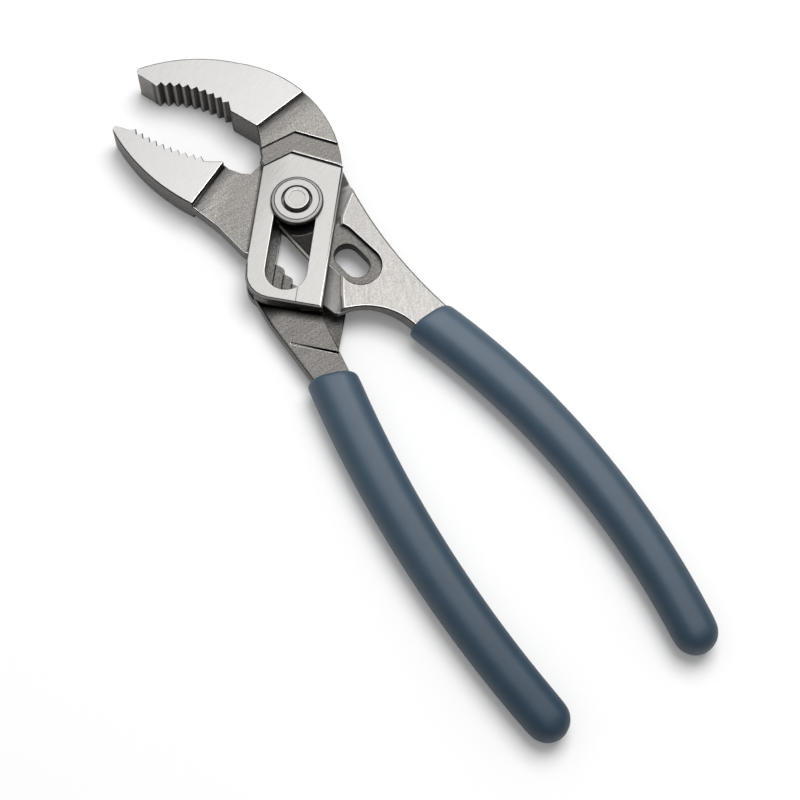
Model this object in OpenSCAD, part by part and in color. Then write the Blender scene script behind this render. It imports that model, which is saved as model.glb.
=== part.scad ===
// Water pump pliers: a box joint with a slotted front cheek and a push-button pivot.
// All sizes are in millimetres. The outlines are drawn in the frame of the slot: the pivot is the
// origin, X runs across the slot and Y along it towards the jaws. The tool is then turned by
// slot_lean about the pivot, so that its long axis is Y. It lies on its back on z = 0.

/* [Thickness] */
// Upper jaw, over its ground faces
jaw_t = 13.8; // [13:0.2:15]
// Neck of the upper jaw, as forged
neck_t = 12.2; // [12:0.1:13]
// Band between the neck and the box
band_t = 11.4; // [11:0.1:11.9]
// Box joint, over its two cheeks
box_t = 10.6; // [9.8:0.2:10.8]
// Lower jaw, over its ground faces
lower_jaw_t = 10.4; // [8.6:0.2:12]
// Tongue of the inner arm, inside the box
tongue_t = 5.2; // [4.6:0.2:5.6]
// Rise of the right arm's front face above the tongue
right_arm_rise = 1.7; // [1.2:0.1:2.4]
// Right arm at its heel, where it swings over the left arm
heel_t = 3.6; // [3.2:0.1:4.2]
// Left arm, from its back to its front face
left_arm_t = 5; // [4.4:0.2:5.4]
// Depth of the groove across the left arm
groove_cut = 0.25; // [0.15:0.05:0.6]

/* [Box and slot] */
// Angle between the slot and the long axis of the tool
slot_lean = 42; // [38:1:46]
// Width of the slot in the front cheek
slot_w = 13.5; // [12:0.1:14]
// Distance between the centres of the slot's round ends
slot_travel = 24.7; // [22:0.1:25]
// Slot centre line to the left edge of the box
box_left = 13; // [12:0.1:14]
// Slot centre line to the right edge of the box
box_right = 13.3; // [12.6:0.1:13.8]
// Wall of the box below the slot
box_tail = 4.8; // [4:0.1:6]
// Radius of the lower left corner of the box
box_corner_r = 9; // [6:0.5:10]
// Radius of the upper right corner of the box's face
plate_corner_r = 3; // [1:0.2:4]
// Ledge of the back cheek that carries the locking rack
ledge_w = 2.3; // [1.8:0.1:2.8]
// Pitch of the locking rack
rack_pitch = 3.1; // [2.6:0.1:3.4]
// Depth of the notches of the rack
rack_depth = 0.9; // [0.5:0.1:1.2]

/* [Jaws] */
// Pivot to the tip of the upper jaw, across the slot
jaw_reach = 59.8; // [57:0.2:63]
// Pivot to the crown of the upper jaw, along the slot
jaw_rise = 48.2; // [46.5:0.1:50]
// Pivot to the tip of the lower jaw, across the slot
low_reach = 64.4; // [62:0.2:67]
// Height of the jaw teeth
tooth_h = 1.5; // [0.8:0.1:2]
// Number of teeth in the upper jaw
upper_teeth = 9; // [6:1:12]
// Number of teeth in the lower jaw
lower_teeth = 10; // [6:1:12]

/* [Hang hole] */
// Width of the recess around the hang hole
recess_w = 13.3; // [11:0.1:14]
// Depth of the recess
recess_depth = 1.9; // [1:0.1:2.4]
// Width of the through hole
hang_w = 8.2; // [6:0.1:9]

/* [Pivot] */
// Diameter of the flange in front
flange_d = 17.2; // [16:0.1:18.4]
// Thickness of the flange
flange_t = 2; // [1.4:0.1:2.2]
// Bevel of the flange's rim
flange_bevel = 0.8; // [0.3:0.1:0.9]
// Diameter of the push button
button_d = 8; // [7:0.1:8.6]
// Height of the button above the flange
button_rise = 1.1; // [0.9:0.1:1.6]
// Travel of the button
button_travel = 1; // [0.6:0.1:1]
// Width of the open ring around the button
button_ring = 0.95; // [0.5:0.05:1.2]
// Diameter of the dish in the button's top
dish_d = 5.4; // [3:0.1:6]
// Depth of the dish in the button's top
dish_depth = 0.25; // [0.1:0.05:0.4]
// Diameter of the button's stem
stem_d = 2.6; // [2.2:0.1:3]
// Height of the button's guided part below the ring
button_guide = 3; // [2:0.1:3.4]
// Diameter of the bolt's tail behind the tongue
tail_d = 8.4; // [7.6:0.1:8.4]
// Thickness of the lock key
key_t = 1.2; // [0.8:0.1:1.3]
// Width of the lock key
key_w = 5; // [4:0.1:5.4]
// Diameter of the back washer
washer_d = 16.4; // [15:0.1:18]
// Thickness of the back washer
washer_t = 0.8; // [0.6:0.05:0.9]
// Thickness of the retaining ring
ring_t = 0.5; // [0.4:0.05:0.55]
// Outer diameter of the retaining ring
ring_d = 11; // [10:0.1:12]
// Depth of the ring's groove in the bolt
groove_depth = 0.6; // [0.4:0.05:0.8]
// Wire of the button spring
spring_wire = 0.8; // [0.6:0.05:0.9]
// Turns of the button spring
spring_turns = 3.5; // [2.5:0.5:3.5]

/* [Grips] */
// Width of a grip at its mouth
grip_w = 16.6; // [15.8:0.2:18]
// Width of a grip at its round end
grip_end_w = 14.4; // [13:0.2:15.6]
// Thickness of a grip
grip_t = 13.8; // [13.8:0.2:16]
// Squareness of a grip's section: 2 is an ellipse
grip_square = 2.5; // [2:0.1:3.2]
// Length of the left grip, from its mouth to the centre of its round end
left_grip_l = 126.46; // [118:0.02:136]
// Length of the right grip, from its mouth to the centre of its round end
right_grip_l = 129.4; // [120:0.1:140]
// Bow radius of the right grip
right_bow = 275; // [240:5:340]
// Bow radius of the left grip
left_bow = 420; // [360:5:520]
// Width of the steel tang inside a grip
tang_w = 9; // [7:0.2:10]
// Thickness of the steel tang inside a grip
tang_t = 8; // [7:0.2:8.4]
// Mouth of a grip to the start of its tang
tang_start = 2.4; // [1.6:0.1:3]
// Centre of a grip's round end to the end of its tang
tang_back = 4; // [2:0.5:12]

/* [Clearances] */
// Tongue to each cheek
tongue_gap = 0.1; // [0.05:0.01:0.2]
// Heel of the right arm to the face of the left arm
lap_gap = 0.2; // [0.1:0.05:0.4]
// Swinging parts to the walls of the box
swing_gap = 0.3; // [0.2:0.05:0.5]
// Radial clearance of the bolt in the tongue, the button in the bolt and the stem in the bolt
run_gap = 0.05; // [0.02:0.01:0.09]
// Bolt to each side of the slot
slot_gap = 0.1; // [0.05:0.01:0.2]
// Lock key to the rack
key_gap = 0.25; // [0.2:0.05:0.4]
// Flat faces of the pivot that rest on the box or on each other
seat_gap = 0.05; // [0.02:0.01:0.1]

/* [Hidden] */

$fn = 72;
bright = "#dcdad6";
forged = "#8f8d89";
satin = "#d2cfca";
blue = "#4a5c6e";
dark_steel = "#6b6b6b";

// Reach of a cutting solid past whatever it cuts
past = 80;
// Steps of a curved stretch of an outline
curve_n = 14;
// Steps of a rounded corner
corner_n = 6;
// Steps of a quarter of a grip's section
grip_n = 8;

// Levels above the bench
mid_z = max(jaw_t, grip_t) / 2;
box_front_z = mid_z + box_t / 2;
box_back_z = mid_z - box_t / 2;
tongue_front_z = mid_z + tongue_t / 2;
tongue_back_z = mid_z - tongue_t / 2;
cheek_front_z = tongue_front_z + tongue_gap;
cheek_back_z = tongue_back_z - tongue_gap;
right_front_z = tongue_front_z + right_arm_rise;
heel_back_z = right_front_z - heel_t;
lap_z = heel_back_z - lap_gap;
left_back_z = lap_z - left_arm_t;

// Pivot sizes that follow from the slot and from each other
slot_r = slot_w / 2;
shank_r = slot_r - slot_gap;
bore_r = shank_r + run_gap;
slot_low = -slot_travel;
button_r = button_d / 2;
button_bore_r = button_r + run_gap;
flange_back_z = box_front_z + seat_gap;
flange_front_z = flange_back_z + flange_t;
button_top_z = flange_front_z + button_rise;
button_low_z = flange_back_z - button_guide;
shank_low_z = cheek_back_z + seat_gap;
tail_r = tail_d / 2;
washer_low_z = box_back_z - seat_gap - washer_t;
ring_low_z = washer_low_z - seat_gap - ring_t;
groove_r = tail_r - groove_depth;
key_top_z = shank_low_z - seat_gap;
key_low_z = key_top_z - key_t;
key_slot_low_z = key_low_z - button_travel - seat_gap;
key_slot_w = key_w + 2 * run_gap;
spring_low_z = shank_low_z + seat_wall() + seat_gap;
spring_top_z = button_low_z - seat_gap;
spring_r = button_bore_r - run_gap - spring_wire / 2 - seat_gap;

// Wall of the bolt under the spring
function seat_wall() = 0.9;

// Tongue and window around the pivot
tongue_r = 19.3;
tongue_from = 150.5;
tongue_to = 46.85;
window_r = tongue_r + swing_gap;

// Corners of the upper jaw and its neck
hook_tip = [-jaw_reach, 39.7];
hook_nose = [-jaw_reach + 0.4, 41.8];
hook_brow = [-jaw_reach + 15.8, jaw_rise - 0.8];
hook_crown = [-27, jaw_rise];
hook_back = [-3.6, 40.2];
hook_shoulder = [12.6, 15.4];
upper_row_end = [-27.6, 33];
upper_span = jaw_reach + upper_row_end.x;
upper_row = [
  upper_row_end + [-0.82 * upper_span, 3.8], upper_row_end + [-0.416 * upper_span, 4.5], upper_row_end
];
throat_lip = [-26.3, 29.5];
throat = [-17, 25.1];
neck_waist = [-15.2, 19];
neck_foot = [-box_left - 1.3, 13];
box_peak = [-4.3, 17.8];
box_top_left = 11.4;
box_top_right = 14.6;
chevron_rise = 7.4;
chevron_slope = 0.8;
chevron_fall = 14;
box_foot_left = slot_low - slot_r - box_tail + 1.4;
box_foot_right = slot_low - slot_r - box_tail;

// Corners of the lower jaw and the inner arm
low_tip = [-low_reach, 18.7];
low_nose = [-low_reach + 0.9, 20.3];
lower_row_end = [-32.4, 11];
lower_span = low_reach + lower_row_end.x;
lower_row = [
  lower_row_end + [-0.8125 * lower_span, 8.2], lower_row_end + [-0.369 * lower_span, 2.2], lower_row_end
];
low_lip = [-25.8, 11.7];
low_step = [-33.8, -5];
low_belly = [lower_row_end.x - 0.566 * lower_span, 4.4];
mouth_sill = [-20, 9.4];
neck_low = [-24, -11.2];
neck_hump = [-11.6, -21.6];
arch_r = bore_r + 2;
arch_from = -125;
arch_to = -150;
arch_out = [12.6, -23];
heel_in = [12.4, -33.5];
heel_tip = [17.8, -37];
heel_out = [22.4, -34.5];
right_hollow = [31, -33.2];
right_low = [43.7, -38];
right_elbow = [28, -6.5];
right_high = [52.6, -29.8];

// Raised face of the right arm, clear of the cheek at both ends of the swing
rise_top = [15.8, 9.8];
rise_mid = [14.4, -2.4];
rise_low = [18.4, -31];
// Share of the first step of the right edge that stays at the tongue's level
rise_lead = 0.4;

// Bridge between the cheeks below the slot
bridge_left = -6;
bridge_right = 9.2;
bridge_top = slot_low - slot_r - 0.5;
bridge_cut = 6.8;
bridge_open = 4;

// Part of the heel whose back is cut away so that it swings over the left arm
relief_left = 2;
relief_ramp = 28;
relief_end = 43;
relief_top = -19.6;
relief_foot = -60;

// Left arm
arm_root = [-9.5, -33];
arm_knee = [-2.9, -41.6];
arm_mouth = [13.6, -59.4];
arm_inner = [14.1, -38.3];
arm_inner_mouth = [24.8, -55.1];
web_out = [20.5, -32.5];
web_low = [19.9, -46.4];
cross_left = [4.7, -48];
cross_right = [20.4, -49.3];
cross_w = 0.7;

// Grips: centre of the mouth, angle of the chord, centre of the round end, turn of the mouth's face
left_mouth = [20.1, -59.2];
left_aim = -51.744;
left_end = left_mouth + left_grip_l * [cos(left_aim), sin(left_aim)];
left_turn = -17;
left_heading = -60;
right_mouth = [48.4, -34.5];
right_aim = -44.937;
right_end = right_mouth + right_grip_l * [cos(right_aim), sin(right_aim)];
right_turn = -2;
right_heading = -31;
// Size of a grip's round end against its section, so that the end's rim lies just inside the sleeve
end_share = 0.995;
// Length of a bar inside its grip, where it runs into the tang
bar_in = 9;
// Width of that end of the bar
bar_end_w = 6;

// Hang hole: centres of the round ends of the recess and of the hole
recess_a = [14.2, -12];
recess_b = [23.6, -19.3];
hang_a = [18.4, -15.6];
hang_b = [22.2, -18.8];

// Circle through three points
function circle_through(a, b, c) =
  let (d = 2 * (a.x * (b.y - c.y) + b.x * (c.y - a.y) + c.x * (a.y - b.y)))
  let (na = a * a, nb = b * b, nc = c * c)
  [
    (na * (b.y - c.y) + nb * (c.y - a.y) + nc * (a.y - b.y)) / d,
    (na * (c.x - b.x) + nb * (a.x - c.x) + nc * (b.x - a.x)) / d
  ];

function wrap(angle) = angle - 360 * floor(angle / 360);

// Points of the arc from a to c by way of b
function arc_by(a, b, c, n = curve_n) =
  let (o = circle_through(a, b, c), r = norm(a - o))
  let (from = atan2(a.y - o.y, a.x - o.x), to = atan2(c.y - o.y, c.x - o.x))
  let (left_turn = cross(b - a, c - b) > 0)
  let (sweep = left_turn ? wrap(to - from) : -wrap(from - to))
  [for (i = [0 : n]) o + r * [cos(from + sweep * i / n), sin(from + sweep * i / n)]];

// Row of teeth whose roots lie on an arc and whose tips stand to one side of it
function tooth_row(row, count, height, side) =
  let (pts = arc_by(row[0], row[1], row[2], 2 * count))
  [
    for (i = [0 : 2 * count])
      let (along = pts[min(i + 1, 2 * count)] - pts[max(i - 1, 0)])
      let (out = side * [-along.y, along.x] / norm(along))
      pts[i] + (i % 2) * height * out
  ];

// Centre of an arc of radius r from p to q, on the given side of the chord
function bow_centre(p, q, r, side) =
  let (half = (q - p) / 2, lift = sqrt(r * r - half * half))
  p + half + side * lift * [-half.y, half.x] / norm(half);

function angle_of(v) = atan2(v.y, v.x);

// Corner c of an outline, between p and q, rounded by r
function corner_arc(p, c, q, r) =
  r == 0 ? [c] :
  let (a = (p - c) / norm(p - c), b = (q - c) / norm(q - c))
  let (half = acos(a * b) / 2, o = c + r / sin(half) * (a + b) / norm(a + b))
  let (t = c + r / tan(half) * a, u = c + r / tan(half) * b)
  let (from = angle_of(t - o), turn = angle_of(u - o) - from)
  let (sweep = turn > 180 ? turn - 360 : turn < -180 ? turn + 360 : turn)
  [for (k = [0 : corner_n]) o + r * [cos(from + sweep * k / corner_n), sin(from + sweep * k / corner_n)]];

// Everything is drawn in the slot's frame and turned to the tool's long axis
module in_tool() {
  rotate([0, 0, -slot_lean]) children();
}

// Prism of an outline between two levels
module slab(points, low, high) {
  translate([0, 0, low]) linear_extrude(height = high - low) polygon(points);
}

module disc(r, low, high, at = [0, 0]) {
  translate([at.x, at.y, low]) cylinder(r = r, h = high - low);
}

// Round-ended hole between two centres
module oblong(a, b, r, low, high) {
  run = norm(b - a);
  translate([a.x, a.y, low]) rotate([0, 0, angle_of(b - a)]) {
    cylinder(r = r, h = high - low);
    translate([run, 0, 0]) cylinder(r = r, h = high - low);
    translate([0, -r, 0]) cube([run, 2 * r, high - low]);
  }
}

// The same cut on the front and on the back of a piece of thickness t
module both_faces(points, t) {
  slab(points, mid_z + t / 2, mid_z + past);
  slab(points, mid_z - past, mid_z - t / 2);
}

// Outline of the upper jaw, its neck and the front cheek in one
function head_outline() = concat(
  arc_by(hook_nose, hook_brow, hook_crown),
  arc_by(hook_crown, hook_back, hook_shoulder),
  [[box_right, box_top_right - 2.4]],
  rounded_tail(),
  [[-box_left, box_top_left]],
  [neck_foot],
  arc_by([neck_foot.x + 0.1, neck_foot.y + 2], neck_waist, throat),
  [throat_lip],
  tooth_row([upper_row[2], upper_row[1], upper_row[0]], upper_teeth, tooth_h, 1),
  [hook_tip]
);

// Foot of the box, from its right edge to its left edge
function rounded_tail() = concat(
  [[box_right, box_foot_right]],
  corner_arc([box_right, box_foot_right], [-box_left, box_foot_left], [-box_left, 0], box_corner_r)
);

// Area on the pivot's side of the edge where the jaw is ground
function below_face() = [
  throat + (throat - hook_back), hook_back + (hook_back - throat), [past, hook_back.y],
  [past, -past], [-past, -past], [-past, throat.y - past / 2]
];

// Area on the pivot's side of a chevron that is the top border of the box, moved along the slot
function below_chevron(rise) = [
  [-past, box_top_left + rise - (past - box_left) * chevron_slope], [-box_left, box_top_left + rise],
  [box_peak.x, box_peak.y + rise], [box_right, box_top_right + rise],
  [past, box_top_right + rise - chevron_fall], [past, -past], [-past, -past]
];

// Area of the box's face: as below the chevron, with its right corner rounded
function below_plate() =
  let (corner = [box_right + swing_gap, box_top_right])
  concat(
    [[-past, box_top_left - (past - box_left) * chevron_slope], [-box_left, box_top_left], box_peak],
    corner_arc(box_peak, corner, [corner.x, -past], plate_corner_r),
    [[corner.x, 0], [past, 0], [past, -past], [-past, -past]]
  );

// Cheek-to-cheek window that the tongue swings and slides in
module window() {
  disc(window_r, cheek_back_z, cheek_front_z);
  slab([
    [-past, box_top_left - 3], [past, box_top_left - 3], [past, -past], [bridge_right, -past],
    [bridge_right, bridge_top - bridge_cut], [bridge_right - bridge_cut, bridge_top],
    [bridge_left, bridge_top], [-box_left, bridge_top - bridge_open], [-past, bridge_top - bridge_open]
  ], cheek_back_z, cheek_front_z);
}

// Slot in the front cheek and its narrower opening in the back cheek
module slot_cut() {
  oblong([0, 0], [0, slot_low], slot_r, mid_z, mid_z + past);
  slab(back_slot(), mid_z - past, mid_z);
}

// Opening of the back cheek: notched on its left side, stepped at its foot
function back_slot() =
  let (left = -slot_r + ledge_w, right = slot_r, stairs = slot_low + slot_r - 1.25)
  let (steps = 3, crown = 0.5, fall = 1.1, shoulder = 1.7)
  concat(
    [[right, slot_r - 2], [left, slot_r - 2]],
    [for (i = [0 : steps - 1], p = [[0, -0.5], [-rack_depth, -0.7], [-rack_depth, -1.6], [0, -1.8]])
      [left + p.x, slot_r / 2 + p.y - i * rack_pitch]],
    [for (i = [0 : steps - 1], p = [[0, 0], [rack_pitch - crown, -fall], [rack_pitch, -shoulder]])
      [left + i * rack_pitch + p.x, stairs + p.y - i * rack_pitch]],
    [[left + steps * rack_pitch, stairs - steps * rack_pitch], [right, stairs - steps * rack_pitch + 1]]
  );

// Visible bar of the left arm and its thinner web beside the box
module left_bar() {
  run = left_mouth + bar_in * [cos(left_heading), sin(left_heading)];
  half = bar_end_w / 2 * [-sin(left_heading), cos(left_heading)];
  slab([
    arm_root, arm_knee, arm_mouth, run - half, run + half, arm_inner_mouth, arm_inner,
    [box_right, box_foot_right + 1]
  ], left_back_z, lap_z);
  slab([[box_right - 3, box_foot_right + 4], web_out, web_low, arm_inner], left_back_z, cheek_back_z);
}

// Groove across the front face of the left arm
module cross_groove() {
  run = cross_right - cross_left;
  translate([cross_left.x, cross_left.y, lap_z - groove_cut]) rotate([0, 0, angle_of(run)])
    cube([norm(run), cross_w, groove_cut + lap_gap]);
}

// Steel tang that a grip is pushed over
module tang(mouth, end, bow, side) {
  centre = bow_centre(mouth, end, bow, side);
  lead = side * tang_start / bow * 180 / PI;
  tail = side * tang_back / bow * 180 / PI;
  from = angle_of(mouth - centre) + lead;
  to = angle_of(end - centre) - tail;
  translate([centre.x, centre.y, mid_z]) rotate([0, 0, min(from, to)])
    rotate_extrude(angle = abs(to - from), $fn = 720)
      translate([bow, 0]) square([tang_w, tang_t], center = true);
}

// Rounded side of a grip's section, from the flat of its back to the flat of its front
function grip_side() = [
  for (i = [1 : 2 * grip_n - 1])
    let (a = -90 + 90 * i / grip_n, top = pow(cos(90 / grip_n), 2 / grip_square))
    [grip_end_w / 2 * pow(cos(a), 2 / grip_square),
     grip_t / 2 / top * sign(sin(a)) * pow(abs(sin(a)), 2 / grip_square)]
];

// The rounded side with a flat body behind it
function grip_wide(side) = concat(
  [[-side * grip_w, -grip_t / 2]],
  [for (p = grip_side()) [side * p.x, p.y]],
  [[-side * grip_w, grip_t / 2]]
);

// One side of a sleeve: the rounded side swept along its own bow, which leaves the centre line by spread
module sleeve_side(mouth, end, bow, side, spread) {
  centre = bow_centre(mouth, end, bow, side);
  out_mouth = (mouth - centre) / bow;
  middle = centre + bow * (mouth + end - 2 * centre) / norm(mouth + end - 2 * centre);
  out_middle = (middle - centre) / bow;
  from = mouth + spread * out_mouth;
  own = circle_through(from, middle + spread / 2 * out_middle, end);
  own_r = norm(end - own);
  start = angle_of(from - own);
  stop = angle_of(end - own);
  spare = side * grip_w / 3 / own_r * 180 / PI;
  translate([own.x, own.y, mid_z]) rotate([0, 0, min(start - spare, stop)])
    rotate_extrude(angle = abs(stop - start + spare), $fn = 720)
      translate([own_r, 0]) polygon(grip_wide(sign(spread)));
}

// Bowed, tapering sleeve with a round end and a slanted mouth
module sleeve(mouth, end, bow, side, turn) {
  spread = (grip_w - grip_end_w) / 2;
  difference() {
    union() {
      intersection() {
        sleeve_side(mouth, end, bow, side, spread);
        sleeve_side(mouth, end, bow, side, -spread);
      }
      translate([end.x, end.y, mid_z]) scale(end_share) rotate_extrude()
        polygon(concat([[0, -grip_t / 2]], grip_side(), [[0, grip_t / 2]]));
    }
    translate([mouth.x, mouth.y, 0]) rotate([0, 0, angle_of(end - mouth) + turn])
      translate([-past, -past / 2, -past / 2]) cube(past);
  }
}

// Point at a distance and an angle from the pivot
function polar(r, angle) = r * [cos(angle), sin(angle)];

// Lower edge of the tongue, around its bore
function arch_edge() = [
  for (i = [0 : corner_n]) polar(arch_r, arch_from + (arch_to - arch_from) * i / corner_n)
];

// Inner arm between the jaw and the handle, at the tongue's thickness
function tongue_outline() = concat(
  [low_lip, [mouth_sill.x - 4.4, mouth_sill.y + 1.1], mouth_sill],
  arc_by(polar(tongue_r, tongue_from), [0, tongue_r], polar(tongue_r, tongue_to)),
  right_edge(),
  right_bar_in(),
  arc_by(right_low, right_hollow, heel_out),
  corner_arc(heel_out, heel_tip, heel_in, 1.6),
  [heel_in, arch_out],
  arch_edge(),
  corner_arc(polar(arch_r, arch_to), neck_hump, neck_low, 3),
  [neck_low, low_step]
);

// End of the right bar inside its grip
function right_bar_in() =
  let (run = right_mouth + bar_in * [cos(right_heading), sin(right_heading)])
  let (half = bar_end_w / 2 * [-sin(right_heading), cos(right_heading)])
  [run + half, run - half];

// Outer edge of the right arm, from the tongue's round back to the grip
function right_edge() = arc_by(rise_top, right_elbow, right_high);

// The raised face starts a little further down that edge
function raised_outline() = concat(
  [right_edge()[0] + rise_lead * (right_edge()[1] - right_edge()[0])],
  [for (i = [1 : curve_n]) right_edge()[i]],
  right_bar_in(),
  arc_by(right_low, right_hollow, heel_out),
  [[rise_low.x + 1, heel_tip.y + 1.6], rise_low, rise_mid]
);

function lower_jaw_outline() = concat(
  [low_tip, low_nose],
  tooth_row(lower_row, lower_teeth, tooth_h, 1),
  [low_lip],
  arc_by(low_step, low_belly, low_tip)
);

// Hollow under the heel, level where it passes over the left arm and then rising to the bar's back
module heel_relief() {
  translate([0, relief_top, 0]) rotate([90, 0, 0]) linear_extrude(height = relief_top - relief_foot)
    polygon([
      [relief_left, -past], [relief_end, -past], [relief_end, tongue_back_z], [relief_ramp, heel_back_z],
      [relief_left, heel_back_z]
    ]);
}

module hang_hole() {
  oblong(recess_a, recess_b, recess_w / 2, right_front_z - recess_depth, right_front_z + past);
  oblong(recess_a, recess_b, recess_w / 2, tongue_back_z - past, tongue_back_z + recess_depth / 2);
  oblong(hang_a, hang_b, hang_w / 2, -past, past);
}

module outer_arm() {
  color(forged) in_tool() union() {
    difference() {
      slab(head_outline(), mid_z - jaw_t / 2, mid_z + jaw_t / 2);
      both_faces(below_face(), neck_t);
      both_faces(below_chevron(chevron_rise), band_t);
      both_faces(below_plate(), box_t);
      window();
      slot_cut();
    }
    difference() {
      left_bar();
      cross_groove();
    }
    tang(left_mouth, left_end, left_bow, 1);
  }
}

module inner_arm() {
  color(satin) in_tool() difference() {
    union() {
      slab(tongue_outline(), tongue_back_z, tongue_front_z);
      slab(raised_outline(), tongue_back_z, right_front_z);
      slab(lower_jaw_outline(), mid_z - lower_jaw_t / 2, mid_z + lower_jaw_t / 2);
      tang(right_mouth, right_end, right_bow, -1);
    }
    heel_relief();
    disc(bore_r, -past, past);
    hang_hole();
  }
}

module left_grip() {
  color(blue) in_tool() difference() {
    sleeve(left_mouth, left_end, left_bow, 1, left_turn);
    tang(left_mouth, left_end, left_bow, 1);
    left_bar();
  }
}

module right_grip() {
  color(blue) in_tool() difference() {
    sleeve(right_mouth, right_end, right_bow, -1, right_turn);
    tang(right_mouth, right_end, right_bow, -1);
    slab(raised_outline(), tongue_back_z, right_front_z);
  }
}

module pivot_bolt() {
  color(bright) in_tool() difference() {
    rotate_extrude() polygon([
      [0, 0], [tail_r, 0], [tail_r, ring_low_z - seat_gap], [groove_r, ring_low_z - seat_gap],
      [groove_r, washer_low_z], [tail_r, washer_low_z], [tail_r, shank_low_z], [shank_r, shank_low_z],
      [shank_r, flange_back_z], [flange_d / 2, flange_back_z],
      [flange_d / 2, flange_front_z - flange_bevel],
      [flange_d / 2 - flange_bevel * 1.6, flange_front_z], [0, flange_front_z]
    ]);
    disc(button_r + button_ring, flange_back_z, flange_front_z + past);
    disc(button_bore_r, shank_low_z + seat_wall(), flange_front_z);
    disc(stem_d / 2 + run_gap, key_slot_low_z, flange_front_z);
    translate([-past / 2, -key_slot_w / 2, key_slot_low_z])
      cube([past, key_slot_w, key_top_z + seat_gap - key_slot_low_z]);
  }
}

module push_button() {
  color(bright) in_tool() difference() {
    union() {
      disc(button_r, button_low_z, button_top_z);
      disc(stem_d / 2, key_low_z, button_low_z);
    }
    disc(dish_d / 2, button_top_z - dish_depth, button_top_z + past);
  }
}

// Round wire wound into a compression spring
module button_spring() {
  sides = 8;
  steps = 18 * spring_turns;
  wire_r = spring_wire / 2;
  lift = spring_top_z - spring_low_z - spring_wire;
  rings = [
    for (i = [0 : steps])
      let (a = 360 * spring_turns * i / steps, z = spring_low_z + wire_r + lift * i / steps)
      [for (k = [0 : sides - 1])
        let (b = 360 * k / sides, r = spring_r + wire_r * cos(b))
        [r * cos(a), r * sin(a), z + wire_r * sin(b)]]
  ];
  points = [for (ring = rings) each ring];
  faces = concat(
    [[for (k = [0 : sides - 1]) k]],
    [for (i = [0 : steps - 1], k = [0 : sides - 1])
      let (n = (k + 1) % sides)
      [i * sides + k, (i + 1) * sides + k, (i + 1) * sides + n, i * sides + n]],
    [[for (k = [sides - 1 : -1 : 0]) steps * sides + k]]
  );
  color(dark_steel) in_tool() polyhedron(points, faces);
}

module lock_key() {
  key_l = 2 * (slot_r - ledge_w - key_gap);
  color(dark_steel) in_tool() difference() {
    intersection() {
      translate([-key_l / 2, -key_w / 2, key_low_z]) cube([key_l, key_w, key_t]);
      disc(tail_r, key_low_z, key_top_z);
    }
    disc(stem_d / 2 + seat_gap / 2, -past, past);
  }
}

module back_washer() {
  color(satin) in_tool() difference() {
    disc(washer_d / 2, washer_low_z, washer_low_z + washer_t);
    disc(tail_r + run_gap, -past, past);
  }
}

module retaining_ring() {
  mouth_w = tail_d * 0.7;
  color(dark_steel) in_tool() difference() {
    disc(ring_d / 2, ring_low_z, ring_low_z + ring_t);
    disc(groove_r + run_gap, -past, past);
    translate([0, -mouth_w / 2, -past / 2]) cube([past, mouth_w, past]);
  }
}

outer_arm();
inner_arm();
left_grip();
right_grip();
pivot_bolt();
push_button();
button_spring();
lock_key();
back_washer();
retaining_ring();
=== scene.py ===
# %% [markdown]
# # Water pump pliers
# This lesson dresses a finished CAD model of a pair of water pump pliers. The CAD model gives every
# piece its true size and place. Here the steel gets soft edges, ground faces and forged skin, and the
# handles get smooth vinyl sleeves. Everything stays in the frame of the CAD model, in metres: the pivot
# is the origin, Y runs along the tool to the jaws, and the tool lies on z = 0.

import math

import bmesh
import bpy
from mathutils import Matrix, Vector


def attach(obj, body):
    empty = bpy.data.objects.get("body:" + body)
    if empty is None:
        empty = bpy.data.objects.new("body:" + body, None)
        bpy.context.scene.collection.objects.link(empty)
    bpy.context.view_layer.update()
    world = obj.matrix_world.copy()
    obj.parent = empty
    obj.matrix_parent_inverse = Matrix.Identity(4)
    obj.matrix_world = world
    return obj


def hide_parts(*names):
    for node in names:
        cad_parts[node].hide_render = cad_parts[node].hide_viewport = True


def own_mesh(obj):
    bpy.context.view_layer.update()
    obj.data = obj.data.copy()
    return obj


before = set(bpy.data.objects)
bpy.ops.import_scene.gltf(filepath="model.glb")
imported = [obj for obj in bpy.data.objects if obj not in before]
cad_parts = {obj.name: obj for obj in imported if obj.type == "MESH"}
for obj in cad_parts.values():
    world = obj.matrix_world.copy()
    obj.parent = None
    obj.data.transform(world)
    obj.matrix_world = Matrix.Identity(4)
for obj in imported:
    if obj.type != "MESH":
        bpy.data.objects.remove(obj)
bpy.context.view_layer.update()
MM = 0.001
print("CAD nodes:", sorted(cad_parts))

# %% [markdown]
# ## Two frames
# The CAD source draws the outlines in the frame of the adjusting slot and then turns them by the lean of
# that slot. The same turn is kept here as two small functions, so that an edge or a face can be picked by
# the place that it has on the drawing: u runs across the slot and v along it, both in millimetres.

# %% From the slot's frame to the tool's frame and back
LEAN = math.radians(42)


def tool_xy(u, v):
    """Millimetres across and along the slot, to metres in the tool's frame."""
    x = u * math.cos(LEAN) + v * math.sin(LEAN)
    y = -u * math.sin(LEAN) + v * math.cos(LEAN)
    return Vector((x * MM, y * MM))


def slot_uv(point):
    """A point of the tool, to millimetres across the slot, along it and above the bench."""
    u = (point.x * math.cos(LEAN) - point.y * math.sin(LEAN)) / MM
    v = (point.x * math.sin(LEAN) + point.y * math.cos(LEAN)) / MM
    return u, v, point.z / MM


ACROSS = tool_xy(1, 0).normalized()
ALONG = tool_xy(0, 1).normalized()
print("the slot runs along", tuple(round(share, 3) for share in ALONG))

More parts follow.
